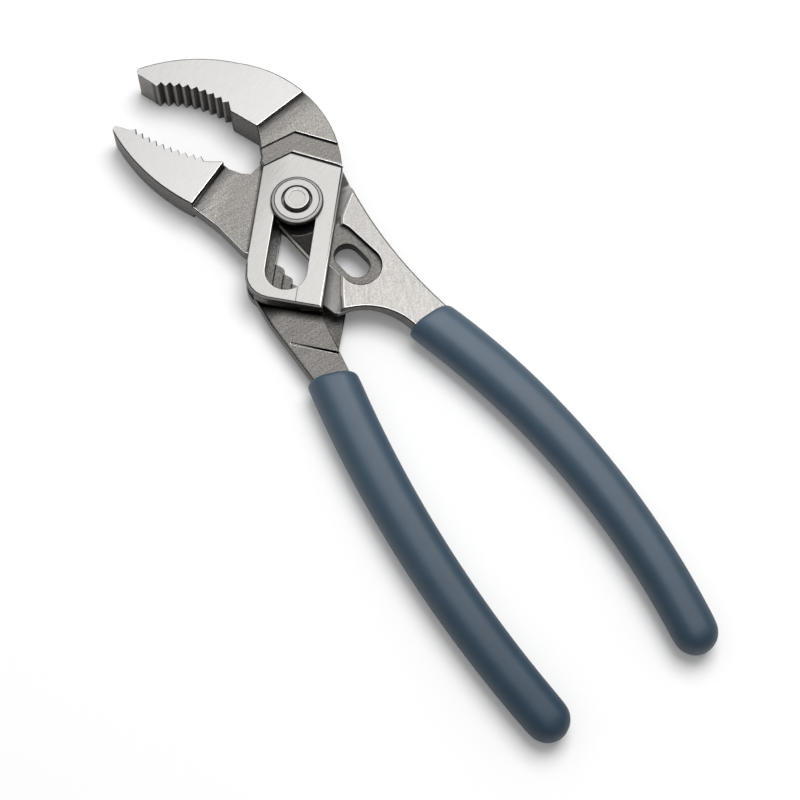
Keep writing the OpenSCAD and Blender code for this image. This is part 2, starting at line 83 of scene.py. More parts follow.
# %% [markdown]
# ## Camera
# The photograph looks down on the tool from about 22 degrees off the vertical, with a long lens. A long
# lens keeps the two arms nearly parallel in the picture. The camera is aimed by turning its own -Z axis
# towards the middle of the picture, and the lamps are aimed in the same way.

# %% Place the camera
bpy.ops.object.select_all(action="DESELECT")
aim = Vector((-10.7, -74.3, 6.9)) * MM
eye = Vector((-159.9, -290.4, 656.9)) * MM


def turn_to_aim(place):
    """The turn that makes an object at a place look at the middle of the picture."""
    return (aim - place).to_track_quat("-Z", "Y").to_euler()


camera_data = bpy.data.cameras.new("camera")
camera_data.lens = 100
camera_data.sensor_width = 36
camera_data.clip_start = 0.01
camera = bpy.data.objects.new("camera", camera_data)
camera.location = eye
camera.rotation_euler = turn_to_aim(eye)
bpy.context.scene.collection.objects.link(camera)
bpy.context.scene.camera = camera
print("camera to aim:", round((aim - eye).length, 3), "m")

# %% [markdown]
# ## Lamps
# One large soft lamp hangs above the far edge of the picture, so the shadow falls towards the near edge.
# A faint lamp on the left opens up the walls that look that way. More lamps would give more highlights,
# but the photograph shows one soft light and no hard glints.

# %% Hang the lamps
bpy.context.scene.view_settings.view_transform = "Standard"
picture_up = Vector((0.568, 0.823, 0.0))
picture_right = Vector((0.823, -0.568, 0.0))


def soft_lamp(name, towards, lift, distance, size, power):
    """A square lamp that looks at the middle of the tool, from a level direction and an elevation."""
    lift = math.radians(lift)
    data = bpy.data.lights.new(name, "AREA")
    data.size = size
    data.energy = power
    lamp = bpy.data.objects.new(name, data)
    level = towards.normalized() * math.cos(lift)
    lamp.location = aim + distance * (level + Vector((0, 0, math.sin(lift))))
    lamp.rotation_euler = turn_to_aim(lamp.location)
    bpy.context.scene.collection.objects.link(lamp)


soft_lamp(
    "key_lamp", picture_up + 0.55 * picture_right, lift=70, distance=1.3, size=0.8, power=12.2
)
soft_lamp(
    "left_lamp", -picture_right - 0.3 * picture_up, lift=22, distance=1.2, size=0.7, power=0.2
)

# %% [markdown]
# ## Nodes
# The room, the floor and every finish are graphs of nodes. A node has settings, and inputs that are either
# constants or outputs of other nodes. Nodes could be set one by one in the editor. A few helpers add them
# here, because the same small groups come back in every finish.

# %% Helpers for nodes
def add_node(tree, kind, inputs=None, **settings):
    """A new node with its settings. Each input is a constant or the output of another node."""
    node = tree.nodes.new("ShaderNode" + kind)
    for name, value in settings.items():
        setattr(node, name, value)
    for name, value in (inputs or {}).items():
        if isinstance(value, bpy.types.NodeSocket):
            tree.links.new(value, node.inputs[name])
        else:
            node.inputs[name].default_value = value
    return node


def add_math(tree, operation, *values):
    """An operation on numbers and outputs."""
    return add_node(tree, "Math", dict(enumerate(values)), operation=operation).outputs[0]


def add_range(tree, value, start, end, low, high):
    """Spread a value that goes from start to end over the range from low to high."""
    ends = {"From Min": start, "From Max": end, "To Min": low, "To Max": high}
    return add_node(tree, "MapRange", {"Value": value, **ends}).outputs["Result"]


print("node helpers ready")

# %% [markdown]
# ## Room
# Steel shows what it mirrors. The room is bright above the far edge of the picture and dim near the bench,
# so the flat faces of the tool turn bright, and the walls that lean to the camera turn dark. The camera
# itself sees a plain white room.

# %% Light the room
ROOM_DIM, ROOM_BRIGHT = 0.10, 0.62
ROOM_LOW, ROOM_HIGH = -0.1, 0.95

world = bpy.data.worlds.new("white_room")
bpy.context.scene.world = world
world.use_nodes = True
sky = world.node_tree
brightest = (picture_up * 0.4 + Vector((0, 0, 1))).normalized()
look = add_node(sky, "TexCoord").outputs["Generated"]
facing = add_node(sky, "VectorMath", {0: look, 1: brightest}, operation="DOT_PRODUCT").outputs["Value"]
room_light = add_range(sky, facing, ROOM_LOW, ROOM_HIGH, ROOM_DIM, ROOM_BRIGHT)
camera_ray = add_node(sky, "LightPath").outputs["Is Camera Ray"]
room = sky.nodes["Background"]
room.inputs["Color"].default_value = (1, 1, 1, 1)
sky.links.new(add_math(sky, "MAXIMUM", room_light, camera_ray), room.inputs["Strength"])
print("room:", world.name)

# %% [markdown]
# ## Floor
# The photograph has a pure white ground with only a soft shadow on it. The floor is a plain white sheet.
# For rays that come straight from the camera or from a mirror it also glows a little, so that it reads as
# white without more light on the tool, and the shadow stays visible on it. Far from the tool, where the
# lamp's light runs out, the glow grows until the sheet is white.

# %% Make the floor
PAPER_WHITE = (0.9, 0.9, 0.9, 1)
GLOW_NEAR, GLOW_FAR = 0.09, 0.9
GLOW_START, GLOW_END = 0.35, 0.95

bpy.ops.object.select_all(action="DESELECT")
bpy.ops.mesh.primitive_plane_add(size=6, location=(0, 0, -0.2 * MM))
floor = bpy.context.object
floor.name = "floor"
paper = bpy.data.materials.new("white_paper")
paper.use_nodes = True
sheet = paper.node_tree
sheet.nodes.clear()
ray = add_node(sheet, "LightPath")
seen = add_math(sheet, "MAXIMUM", ray.outputs["Is Camera Ray"], ray.outputs["Is Glossy Ray"])
seen = add_math(sheet, "MAXIMUM", seen, ray.outputs["Is Transmission Ray"])
place = add_node(sheet, "TexCoord").outputs["Object"]
away = add_node(sheet, "VectorMath", {0: place}, operation="LENGTH").outputs["Value"]
edge = add_range(sheet, away, GLOW_START, GLOW_END, 0, GLOW_FAR)
edge = add_math(sheet, "MULTIPLY", edge, ray.outputs["Is Camera Ray"])
strength = add_math(sheet, "ADD", add_math(sheet, "MULTIPLY", seen, GLOW_NEAR), edge)
glow = add_node(sheet, "Emission", {"Strength": strength})
white = add_node(sheet, "BsdfDiffuse", {"Color": PAPER_WHITE})
both = add_node(sheet, "AddShader", {0: white.outputs[0], 1: glow.outputs[0]})
add_node(sheet, "OutputMaterial", {"Surface": both.outputs[0]})
floor.data.materials.append(paper)
print("floor:", floor.name)

# %% [markdown]
# ## Steel
# The tool shows four kinds of steel. The jaw faces, the slotted cheek and the pivot are ground flat, with
# fine scratches all one way. The neck and the left arm keep the dull, pitted skin of the forging. The
# right arm is blasted to an even satin. Edges are rubbed brighter than the faces that they border, and
# their pale greys are also a painted highlight. A picture could be wrapped around the pieces, but it
# would stretch on the walls. Noise on object coordinates runs through the solid steel instead, so it
# fits every side.

# %% Noise, colour and bumps
NOISE_SPAN = (0.3, 0.7)


def start_material(name, color, metallic, roughness):
    """A material whose constant values sit on the shader itself."""
    material = bpy.data.materials.new(name)
    material.use_nodes = True
    shader = material.node_tree.nodes["Principled BSDF"]
    shader.inputs["Base Color"].default_value = (*color, 1)
    shader.inputs["Metallic"].default_value = metallic
    shader.inputs["Roughness"].default_value = roughness
    return material, shader


def add_noise(tree, density, detail, turn=0.0, rough=0.6):
    """Noise on object coordinates, with a density per metre along three axes that are turned about Z."""
    mapping = {
        "Vector": add_node(tree, "TexCoord").outputs["Object"],
        "Rotation": (0, 0, math.radians(turn)),
        "Scale": [1 / each for each in density],
    }
    mapped = add_node(tree, "Mapping", mapping, vector_type="TEXTURE").outputs["Vector"]
    grain = {"Vector": mapped, "Scale": 1, "Detail": detail, "Roughness": rough}
    return add_node(tree, "TexNoise", grain).outputs["Fac"]


def add_ramp(tree, value, stops, colors):
    """Blend from one colour to another while a value goes from one stop to the other."""
    ramp = add_node(tree, "ValToRGB", {"Fac": value})
    for element, stop, color in zip(ramp.color_ramp.elements, stops, colors):
        element.position = stop
        element.color = (*color, 1)
    return ramp.outputs["Color"]


def add_bump(tree, value, depth, before=None):
    """A bump of a depth in metres, on top of another bump where one is given."""
    bump = {"Strength": 1, "Distance": depth, "Height": value}
    if before is not None:
        bump["Normal"] = before
    return add_node(tree, "Bump", bump).outputs["Normal"]


print("a noise lies mostly between", *NOISE_SPAN)

# %% [markdown]
# ## Painted light and shade
# The shadow below a step, the shade in a corner, and the dark line of a step with its bright lip are
# painted into the colour of the steel, as painted shade and painted highlights. These marks could be
# painted on a texture. They follow straight lines and circles of the drawing, so each one is worked out
# from the distance to its line instead, and it stays sharp however near the camera comes.

# %% Shade along lines and around the pivot
LINE_BLUR = 0.25
LINE_START = 0.2
LINE_STOP = 0.1
RIM_HALF = 0.15


def add_place(tree, axis):
    """The distance from the origin along an axis, in metres."""
    place = add_node(tree, "TexCoord").outputs["Object"]
    return add_node(
        tree, "VectorMath", {0: place, 1: (*axis, 0)[:3]}, operation="DOT_PRODUCT"
    ).outputs["Value"]


def add_fade(tree, value, start, end, low, high):
    """Spread a distance in metres, between two places in millimetres, over two factors."""
    return add_range(tree, value, start * MM, end * MM, low, high)


def add_shade(tree, color, factor):
    """Multiply a colour by a factor."""
    shade = {"Factor": 1, "A": color, "B": factor}
    return add_node(
        tree, "Mix", shade, data_type="RGBA", blend_type="MULTIPLY", clamp_result=True
    ).outputs["Result"]


def add_beyond(tree, start, way):
    """The distance from a point of the drawing along a level direction, in metres."""
    return add_math(tree, "SUBTRACT", add_place(tree, way), tool_xy(*start).dot(way))


def line_ways(start, end):
    """The direction from one point of the drawing to another, and the direction on its left."""
    along = (tool_xy(*end) - tool_xy(*start)).normalized()
    return along, Vector((-along.y, along.x))


def add_painted_line_shade(tree, color, start, end, reach, factor):
    """Multiply a colour at and behind a line, fading out over a reach in millimetres on its left: painted
    shade for a factor below one, a painted highlight for one above.
    """
    _, left = line_ways(start, end)
    return add_shade(tree, color, add_fade(tree, add_beyond(tree, start, left), 0, reach, factor, 1))


def add_light_line(tree, color, start, end, half, light):
    """A painted highlight: brighten a colour along a line that begins at start, with a half width in
    millimetres.
    """
    along, left = line_ways(start, end)
    offset = add_math(tree, "ABSOLUTE", add_beyond(tree, start, left))
    beside = add_fade(tree, offset, half, half + LINE_BLUR, light - 1, 0)
    begun = add_fade(tree, add_beyond(tree, start, along), -LINE_START, 0, 0, 1)
    gain = add_math(tree, "MULTIPLY", beside, begun)
    return add_shade(tree, color, add_math(tree, "ADD", gain, 1.0))


def add_dark_lines(tree, color, places, half, factor, top=None):
    """Dark lines along the slot, at places across it and below a top, in millimetres."""
    across, along = add_place(tree, ACROSS), add_place(tree, ALONG)
    for place in places:
        offset = add_math(tree, "ABSOLUTE", add_math(tree, "SUBTRACT", across, place * MM))
        line = add_fade(tree, offset, half, 2 * half, factor, 1)
        if top is not None:
            line = add_math(tree, "MAXIMUM", line, add_fade(tree, along, top - LINE_STOP, top, 0, 1))
        color = add_shade(tree, color, line)
    return color


def add_ring(tree, color, radius, inside, rim):
    """Multiply a colour inside a radius around the pivot, and again on that radius: painted shade for a
    factor below one, a painted highlight for one above.
    """
    squares = [
        add_math(tree, "MULTIPLY", part, part) for part in (add_place(tree, ACROSS), add_place(tree, ALONG))
    ]
    reach = add_math(tree, "SQRT", add_math(tree, "ADD", *squares))
    color = add_shade(tree, color, add_fade(tree, reach, radius - 2 * RIM_HALF, radius, inside, 1))
    offset = add_math(tree, "ABSOLUTE", add_math(tree, "SUBTRACT", reach, radius * MM))
    return add_shade(tree, color, add_fade(tree, offset, RIM_HALF, 2 * RIM_HALF, rim, 1))


print("lines fade out over", LINE_BLUR, "mm")

# %% [markdown]
# ## One recipe
# A scratch is a noise that is drawn out one way, and a pit is a round noise with steep sides. Each finish
# mixes the two. They could be four separate materials, but they differ only in their numbers, so one
# function builds them all.

# %% Build steel from a recipe
SCRATCH_SQUEEZE = 0.05
COLOR_STOPS = (0.36, 0.64)
GREEN_LOSS, BLUE_LOSS = 0.036, 0.075


def tint(grey, warmth):
    """A grey with a little warmth."""
    return (grey, grey * (1 - GREEN_LOSS * warmth), grey * (1 - BLUE_LOSS * warmth))


def steel(
    name, dark, light, warmth=1.4, *, rough, scratch, pit, turn=0, streaked=False,
    painted_shading=(), bright=(), lines=None, ring=None, foot=None
):
    """Steel from two greys, a range of roughness, and scratches and pits.

    Scratches and pits are (number per metre, depth in metres). The scratches are turned about Z, and a
    streaked steel takes its greys from them. The painted shading along lines, the bright lines, the dark
    lines, the ring and the foot are multiplied into its colour, mostly as painted shade and painted
    highlights.
    """
    colors = [tint(grey, warmth) for grey in (dark, light)]
    material, shader = start_material(name, colors[1], 1.0, sum(rough) / 2)
    tree = material.node_tree
    marks = add_noise(tree, (scratch[0] * SCRATCH_SQUEEZE, scratch[0], scratch[0]), detail=3, turn=turn)
    pits = add_noise(tree, (pit[0], pit[0], pit[0]), detail=4, rough=0.7)
    color = add_ramp(tree, marks if streaked else pits, COLOR_STOPS, colors)
    for place in painted_shading:
        color = add_painted_line_shade(tree, color, *place)
    for place in bright:
        color = add_light_line(tree, color, *place)
    if lines:
        color = add_dark_lines(tree, color, **lines)
    if ring:
        color = add_ring(tree, color, **ring)
    if foot:
        color = add_shade(tree, color, add_fade(tree, add_place(tree, (0, 0, 1)), *foot))
    bumps = add_bump(tree, pits, pit[1], add_bump(tree, marks, scratch[1]))
    tree.links.new(color, shader.inputs["Base Color"])
    tree.links.new(add_range(tree, marks, *NOISE_SPAN, *rough), shader.inputs["Roughness"])
    tree.links.new(bumps, shader.inputs["Normal"])
    return material


print("a scratch is", round(1 / SCRATCH_SQUEEZE), "times as long as it is wide")

# %% [markdown]
# ## Forged skin
# The neck, the band above the box, the left arm, the tongue and the rack keep the skin of the forging:
# dull, dark grey and pitted. They share one skin and differ in their greys and in their painted shading:
# the shadow that a step throws and the shade in a corner are painted into the colour, and a few bright
# lines are painted highlights. A line is given by two points of the drawing, a reach and a factor.

# %% Build the forged finishes
SKIN = dict(rough=(0.46, 0.62), scratch=(2600, 0.00001), pit=(2300, 0.00008))
# Lines of painted shade: the shadows below the two jaws' steps, the dark lines of the band's steps, the
# shadow under the box's lip, the dark line along the left arm's edge, and the shade over the tongue inside
# the box and over the rack. BAND_FOOT and TONGUE_RIGHT, with factors above one, are painted highlights.
JAW_STEP = ((-3.6, 40.2), (-17, 25.1))
LOW_STEP = ((-25.8, 11.7), (-33.8, -5))
BAND_TOP = (((13.3, 21.5), (-4.3, 24.7), 0.3, 0.03), ((-4.3, 24.9), (-13, 18.5), 0.3, 0.08))
BAND_FOOT = ((-4.0, 18.1), (13.3, 14.9), 0.35, 1.7)
BOX_LIP = ((13.3, -36.9), (-13, -35.6), 3.0, 0.02)
LEFT_ARM_EDGE = (
    ((-9.5, -33), (-2.9, -41.6), 0.9, 0.12),
    ((-2.9, -41.6), (13.6, -59.4), 0.9, 0.12),
)
TONGUE_LEFT = ((-13, -20), (-13, 12), 1.4, 0.1)
TONGUE_RIGHT = ((13.3, -35), (13.3, 20), 0.2, 2.8)
RACK_SHADE = ((13, -7), (-13, -7), 12, 0.6)

forged = steel("forged_steel", 0.12, 0.335, **SKIN)
# The neck's skin, with the painted shadow that the jaw's step throws on it.
forged_neck = steel(
    "forged_neck", 0.165, 0.39, **SKIN, painted_shading=((*JAW_STEP, 2.8, 0.04), (*JAW_STEP, 8.0, 0.45))
)
# The band's skin, with the painted dark lines of its steps and a painted highlight along its foot.
forged_band = steel("forged_band", 0.105, 0.27, **SKIN, painted_shading=BAND_TOP, bright=(BAND_FOOT,))
# The left arm's skin, with the painted shadow under the box's lip and a painted dark line along its edge.
forged_arm = steel("forged_left_arm", 0.081, 0.234, **SKIN, painted_shading=(BOX_LIP, *LEFT_ARM_EDGE))
# The tongue's skin: a painted shadow below the lower jaw's step, painted shade inside the box, a painted
# highlight beyond its right side, and inside the ring the painted shadow of the bolt's head, with a painted
# bright rim.
forged_tongue = steel(
    "forged_tongue", 0.135, 0.33, **SKIN,
    painted_shading=((*LOW_STEP, 1.2, 0.08), (*LOW_STEP, 4.5, 0.35), TONGUE_LEFT, TONGUE_RIGHT),
    ring=dict(radius=10.9, inside=0.36, rim=3.0),
)
# The rack in the slot: darker greys and more shade towards the pivot, painted shade of the slot and the
# bolt's head, and painted dark lines along the slot as shade.
forged_rack = steel(
    "forged_rack", 0.075, 0.205, **SKIN,
    painted_shading=(RACK_SHADE,), lines=dict(places=(-4.45, -1.35, 1.75), half=0.16, factor=0.12),
)
# The end of the tongue in the slot: pale greys, painted as lit, with a painted shadow on its lower part.
tongue_edge_painted_light = steel("tongue_edge_painted_light", 0.66, 0.92, **SKIN, foot=(6.1, 6.6, 0.03, 1))
print("forged:", forged.name, forged_neck.name, forged_band.name, forged_arm.name, forged_tongue.name)

# %% [markdown]
# ## Walls, shade and worn edges
# The walls have darker greys than the faces, as painted shade, since they see less of the room. A
# near-black steel paints the darkest shade and the dark lines, and the retaining ring, the lock key and
# the spring are made of it too. Edges are rubbed by the hand and the tool box until they shine. Lamps
# alone could not set a rim off so clearly in a white room, so rims have finishes of their own, whose pale
# greys are a painted highlight. The cone at the border of the pivot's head is painted paler still.

# %% Build the finishes of walls and edges
WALL = dict(rough=(0.44, 0.58), scratch=(2600, 0.00001), pit=(1800, 0.00003))
BUFFED = dict(rough=(0.30, 0.40), scratch=(4000, 0.00001), pit=(2000, 0.00001), turn=20)

# Walls, with darker greys as painted shade.
walls = steel("forged_wall_painted_shade", 0.075, 0.20, **WALL)
# Walls in deeper shade, painted darker still.
deep = steel("shaded_wall", 0.04, 0.11, **WALL)
# Near-black steel: painted shade in grooves and holes and painted dark lines and outlines, and the steel of
# the retaining ring, the lock key and the spring.
oiled = steel(
    "oiled_steel_and_painted_shade", 0.008, 0.022, rough=(0.42, 0.55), scratch=(3000, 0.00001), pit=(2000, 0.00002)
)
# The cone at the border of the pivot's head, painted pale as a painted highlight, with a painted dark line
# around its outer edge.
polished_and_highlit = steel(
    "polished_bevel_painted_highlight", 0.80, 0.95, 0.5, **BUFFED, ring=dict(radius=8.4, inside=1, rim=0.12)
)
# Rubbed edges, whose pale greys are also a painted highlight.
rubbed_and_highlit = steel("rubbed_edge_painted_highlight", 0.52, 0.66, 0.5, **BUFFED)
print("walls and edges:", walls.name, deep.name, oiled.name, polished_and_highlit.name, rubbed_and_highlit.name)

# %% [markdown]
# ## Ground faces and the satin arm
# The jaw faces, the slotted plate and the pivot's head come from the grinding wheel: pale, with fine
# scratches all one way. The right arm is blasted instead: pale too, but even and finely grained. Where it
# lies lower, beside the box, the shadow of the box is painted into it as darker greys, and the broad slope
# up to its raised face is painted pale as painted light. The recess around the hole has dark greys as
# painted shade.

# %% Build the ground and satin finishes
GROUND = dict(
    rough=(0.44, 0.56), scratch=(5200, 0.000012), pit=(1500, 0.000008), turn=20, streaked=True
)
SATIN_GRAIN = dict(scratch=(3800, 0.000008), pit=(2800, 0.00004), turn=60)
SATIN = dict(rough=(0.42, 0.54), **SATIN_GRAIN)
PLATE_TOP = (((13.3, 14.1), (-4.3, 17.3), 0.25, 0.04), ((-4.3, 17.6), (-13, 11.2), 0.25, 0.1))
BOX_SIDE = ((13.3, 20), (13.3, -35))

ground = steel("ground_steel", 0.40, 0.50, 0.5, **GROUND)
# The plate, with the painted dark lines of the band's step at its top, and a dark line near its foot.
plate = steel(
    "ground_plate", 0.305, 0.40, 0.7, **GROUND,
    painted_shading=PLATE_TOP, lines=dict(places=(4.6,), half=0.08, factor=0.25, top=-30),
)
turned = steel("turned_steel", 0.30, 0.39, 0.7, **GROUND)
satin = steel("satin_steel", 0.223, 0.364, 1.0, **SATIN)
# The low strip beside the box: satin with darker greys and more shade near the box, the painted shadow of
# the box.
satin_in_painted_shade = steel("satin_beside_box_painted_shade", 0.125, 0.21, 1.2, **SATIN, painted_shading=((*BOX_SIDE, 2.6, 0.25),))
# The strip above the hole: satin with painted shade near the box.
satin_top = steel("satin_above_hole", 0.223, 0.364, 1.0, **SATIN, painted_shading=((*BOX_SIDE, 3.6, 0.2),))
# The slope up to the raised face: painted very pale, as painted light.
satin_slope_painted_light = steel("satin_slope_painted_light", 0.74, 0.95, 1.2, rough=(0.58, 0.68), **SATIN_GRAIN)
# The recess around the hole: a pitted skin with dark greys, as painted shade.
hollow = steel(
    "satin_recess_painted_shade", 0.072, 0.18, rough=(0.44, 0.56), scratch=(2600, 0.00001), pit=(2300, 0.00006)
)
print("ground and satin:", ground.name, plate.name, turned.name, satin.name, hollow.name)

# %% [markdown]
# ## Vinyl
# The sleeves are dipped vinyl in slate blue: not metal, a soft sheen, and a very fine orange peel that
# keeps the highlight from looking wet. Along the grips light and shade are painted in: the blue is painted
# paler towards the mouths and deeper towards the near end, and the sheen is painted stronger towards the
# mouths and duller towards the near end.

# %% Build the vinyl
VINYL_MEAN = (0.030, 0.062, 0.100)
VINYL_CLOUDS = ((0.0245, 0.0535, 0.087), (0.0295, 0.0615, 0.0985))
VINYL_ROUGH = (0.50, 0.58)
CLOUDS, PEEL, PEEL_DEPTH = 140, 2600, 0.000012
GRIP_ENDS, END_PAINTED_SHADES, END_PAINTED_SHEENS = (-170, -40), (0.78, 1.2), (0.35, 0.85)

vinyl, vinyl_shader = start_material("slate_vinyl", VINYL_MEAN, 0.0, 0.46)
blue = vinyl.node_tree
cloud = add_noise(blue, (CLOUDS, CLOUDS, CLOUDS), detail=3)
peel = add_noise(blue, (PEEL, PEEL, PEEL), detail=2)
reach_up = add_place(blue, picture_up.xy)
color = add_ramp(blue, cloud, NOISE_SPAN, VINYL_CLOUDS)
# Painted light and shade along the grips: paler towards the mouths, deeper towards the near end.
color = add_shade(blue, color, add_fade(blue, reach_up, *GRIP_ENDS, *END_PAINTED_SHADES))
# A painted sheen: the specular level is higher towards the mouths.
painted_sheen = add_fade(blue, reach_up, *GRIP_ENDS, *END_PAINTED_SHEENS)
blue.links.new(color, vinyl_shader.inputs["Base Color"])
blue.links.new(painted_sheen, vinyl_shader.inputs["Specular IOR Level"])
blue.links.new(add_range(blue, peel, *NOISE_SPAN, *VINYL_ROUGH), vinyl_shader.inputs["Roughness"])
blue.links.new(add_bump(blue, peel, PEEL_DEPTH), vinyl_shader.inputs["Normal"])
print("vinyl:", vinyl.name)

# %% [markdown]
# ## From a CAD node to a mesh to work on
# A CAD node comes in as loose triangles. A copy of it is merged, and its flat faces are joined to one face
# each, as they would be on a model that was drawn by hand. The CAD node itself stays untouched behind the
# piece.

# %% Copy a CAD node
MERGE = 0.000004
SAME_PLANE = math.radians(0.4)


def only(piece):
    """Select one object and make it the active one."""
    bpy.ops.object.select_all(action="DESELECT")
    piece.select_set(True)
    bpy.context.view_layer.objects.active = piece


def copy_node(node, name):
    """A merged copy of a CAD node's mesh, with its flat faces joined."""
    piece = bpy.data.objects.new(name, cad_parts[node].data.copy())
    bpy.context.scene.collection.objects.link(piece)
    piece.data.materials.clear()
    only(piece)
    bpy.ops.object.mode_set(mode="EDIT")
    bpy.ops.mesh.select_all(action="SELECT")
    bpy.ops.mesh.remove_doubles(threshold=MERGE)
    bpy.ops.mesh.dissolve_limited(angle_limit=SAME_PLANE)
    bpy.ops.object.mode_set(mode="OBJECT")
    return piece


outer = copy_node("outer_arm", "outer_arm_steel")
inner = copy_node("inner_arm", "inner_arm_steel")
print("joined faces:", len(outer.data.polygons), "and", len(inner.data.polygons))

# %% [markdown]
# ## How round an edge is
# Real steel has a small radius on every edge, and that radius is what catches the light. One bevel for all
# edges would be easy, but teeth are almost sharp while a jaw's nose is blunt. So each outward edge gets a
# bevel weight, which is its share of the largest radius. Edges that run on without a corner form a chain,
# and a chain has one radius all along, the one that most of its length asks for.

# %% Weigh the edges
ROUND = 1.6 * MM
STRAIGHT_ON = -0.9


def rim_chains(mesh, sharp):
    """Outward edges sharper than a limit in degrees, in groups that run on without a corner."""
    rims = [
        edge for edge in mesh.edges
        if len(edge.link_faces) == 2 and math.degrees(edge.calc_face_angle_signed()) > sharp
    ]
    chain = {edge: {edge} for edge in rims}
    for vert in mesh.verts:
        meeting = [edge for edge in vert.link_edges if edge in chain]
        for one in meeting:
            for other in meeting:
                a = (one.other_vert(vert).co - vert.co).normalized()
                b = (other.other_vert(vert).co - vert.co).normalized()
                if a.dot(b) < STRAIGHT_ON and chain[one] is not chain[other]:
                    chain[one] |= chain[other]
                    for edge in chain[other]:
                        chain[edge] = chain[one]
    return list({id(group): group for group in chain.values()}.values())


def weigh_edges(piece, edge_at, radii, sharp=18):
    """Give each chain the radius, in millimetres, of the kind that edge_at(middle, normals) names."""
    mesh = bmesh.new()
    mesh.from_mesh(piece.data)
    layer = mesh.edges.layers.float.new("bevel_weight_edge")
    chains = rim_chains(mesh, sharp)
    for chain in chains:
        votes = {}
        for edge in chain:
            middle = slot_uv((edge.verts[0].co + edge.verts[1].co) / 2)
            radius = radii[edge_at(middle, [face.normal for face in edge.link_faces])]
            votes[radius] = votes.get(radius, 0) + edge.calc_length()
        radius = max(votes, key=votes.get)
        for edge in chain:
            edge[layer] = min(radius * MM / ROUND, 1.0)
    mesh.to_mesh(piece.data)
    mesh.free()
    return len(chains)


print("largest radius:", ROUND / MM, "mm")

# %% [markdown]
# ## Flat faces that stay flat
# Where two bevels meet at a sharp corner, the outline of a large face can cross itself, and the face is
# then drawn with a fold. Such a face is deleted and filled again from its own outline, as one would do by
# hand.

# %% Fill pinched faces again
SMALLEST_FOLD = 1e-9
MOST_REFILLS = 60


def pick_faces(piece, wanted):
    """Go into edit mode with those faces selected for which wanted(face) is true."""
    bpy.ops.object.mode_set(mode="EDIT")
    bpy.ops.mesh.select_mode(type="FACE")
    bpy.ops.mesh.select_all(action="DESELECT")
    bpy.ops.object.mode_set(mode="OBJECT")
    for face in piece.data.polygons:
        face.select = wanted(face)
    bpy.ops.object.mode_set(mode="EDIT")


def pinched_face(mesh):
    """The index of the first flat face whose triangles don't all face its own way, or None."""
    mesh.calc_loop_triangles()
    for triangle in mesh.loop_triangles:
        face = mesh.polygons[triangle.polygon_index]
        turned_over = triangle.normal.dot(face.normal) < 0
        if len(face.vertices) > 4 and turned_over and triangle.area > SMALLEST_FOLD:
            return face.index
    return None


def refill_flats(piece):
    """Fill each flat face again whose outline was pinched by a bevel."""
    only(piece)
    for _ in range(MOST_REFILLS):
        bad = pinched_face(piece.data)
        if bad is None:
            return
        up = piece.data.polygons[bad].normal.copy()
        slot = piece.data.polygons[bad].material_index
        pick_faces(piece, lambda face: face.index == bad)
        bpy.ops.mesh.delete(type="ONLY_FACE")
        bpy.ops.mesh.select_mode(type="EDGE")
        bpy.ops.mesh.select_non_manifold(
            extend=False, use_wire=False, use_boundary=True,
            use_multi_face=False, use_non_contiguous=False, use_verts=False,
        )
        bpy.ops.mesh.fill(use_beauty=True)
        bpy.ops.object.mode_set(mode="OBJECT")
        filled = [face for face in piece.data.polygons if face.select]
        for face in filled:
            face.material_index = slot
        if filled and sum(face.normal.dot(up) * face.area for face in filled) < 0:
            bpy.ops.object.mode_set(mode="EDIT")
            bpy.ops.mesh.flip_normals()
            bpy.ops.object.mode_set(mode="OBJECT")


print("pinched faces before rounding:", pinched_face(outer.data), pinched_face(inner.data))

# %% [markdown]
# ## Rounding
# A Bevel modifier rounds each edge by its weight. A Weighted Normal modifier then lets the large faces set
# the shading, so that flat faces look flat right up to the rounded edge. The faces of the rounded edges
# take the finish that is named rim, and afterwards each face gets its finish by its place.

# %% Round the edges and paint the faces
SEGMENTS = 3
SLIVER = 0.000002
SMOOTH = math.radians(40)


def round_edges(piece, finishes):
    """Give a piece its finishes and round its weighted edges, whose faces take the finish named rim."""
    for finish in finishes.values():
        piece.data.materials.append(finish)
    rim = list(finishes).index("rim")
    only(piece)
    bevel = piece.modifiers.new("soft_edges", "BEVEL")
    bevel.limit_method = "WEIGHT"
    bevel.width = ROUND
    bevel.segments = SEGMENTS
    bevel.use_clamp_overlap = False
    bevel.material = rim
    bevel.miter_outer = "MITER_ARC"
    bpy.ops.object.modifier_apply(modifier=bevel.name)
    bpy.ops.object.mode_set(mode="EDIT")
    bpy.ops.mesh.select_all(action="SELECT")
    bpy.ops.mesh.dissolve_degenerate(threshold=SLIVER)
    bpy.ops.object.mode_set(mode="OBJECT")
    refill_flats(piece)
    only(piece)
    bpy.ops.object.shade_smooth_by_angle(angle=SMOOTH)
    for strength, on_rim in (("WEAK", True), ("STRONG", False)):
        pick_faces(piece, lambda face: (face.material_index == rim) == on_rim)
        bpy.ops.mesh.mod_weighted_strength(set=True, face_strength=strength)
        bpy.ops.object.mode_set(mode="OBJECT")
    normals = piece.modifiers.new("flat_faces", "WEIGHTED_NORMAL")
    normals.keep_sharp = True
    normals.use_face_influence = True
    bpy.ops.object.modifier_apply(modifier=normals.name)


def paint(piece, finishes, finish_at):
    """Give each face the finish that finish_at(middle, normal, whether it is on a rim) names."""
    names = list(finishes)
    for face in piece.data.polygons:
        on_rim = names[face.material_index] == "rim"
        finish = finish_at(slot_uv(face.center), face.normal, on_rim)
        face.material_index = names.index(finish)


print("faces across a rounded edge:", SEGMENTS)

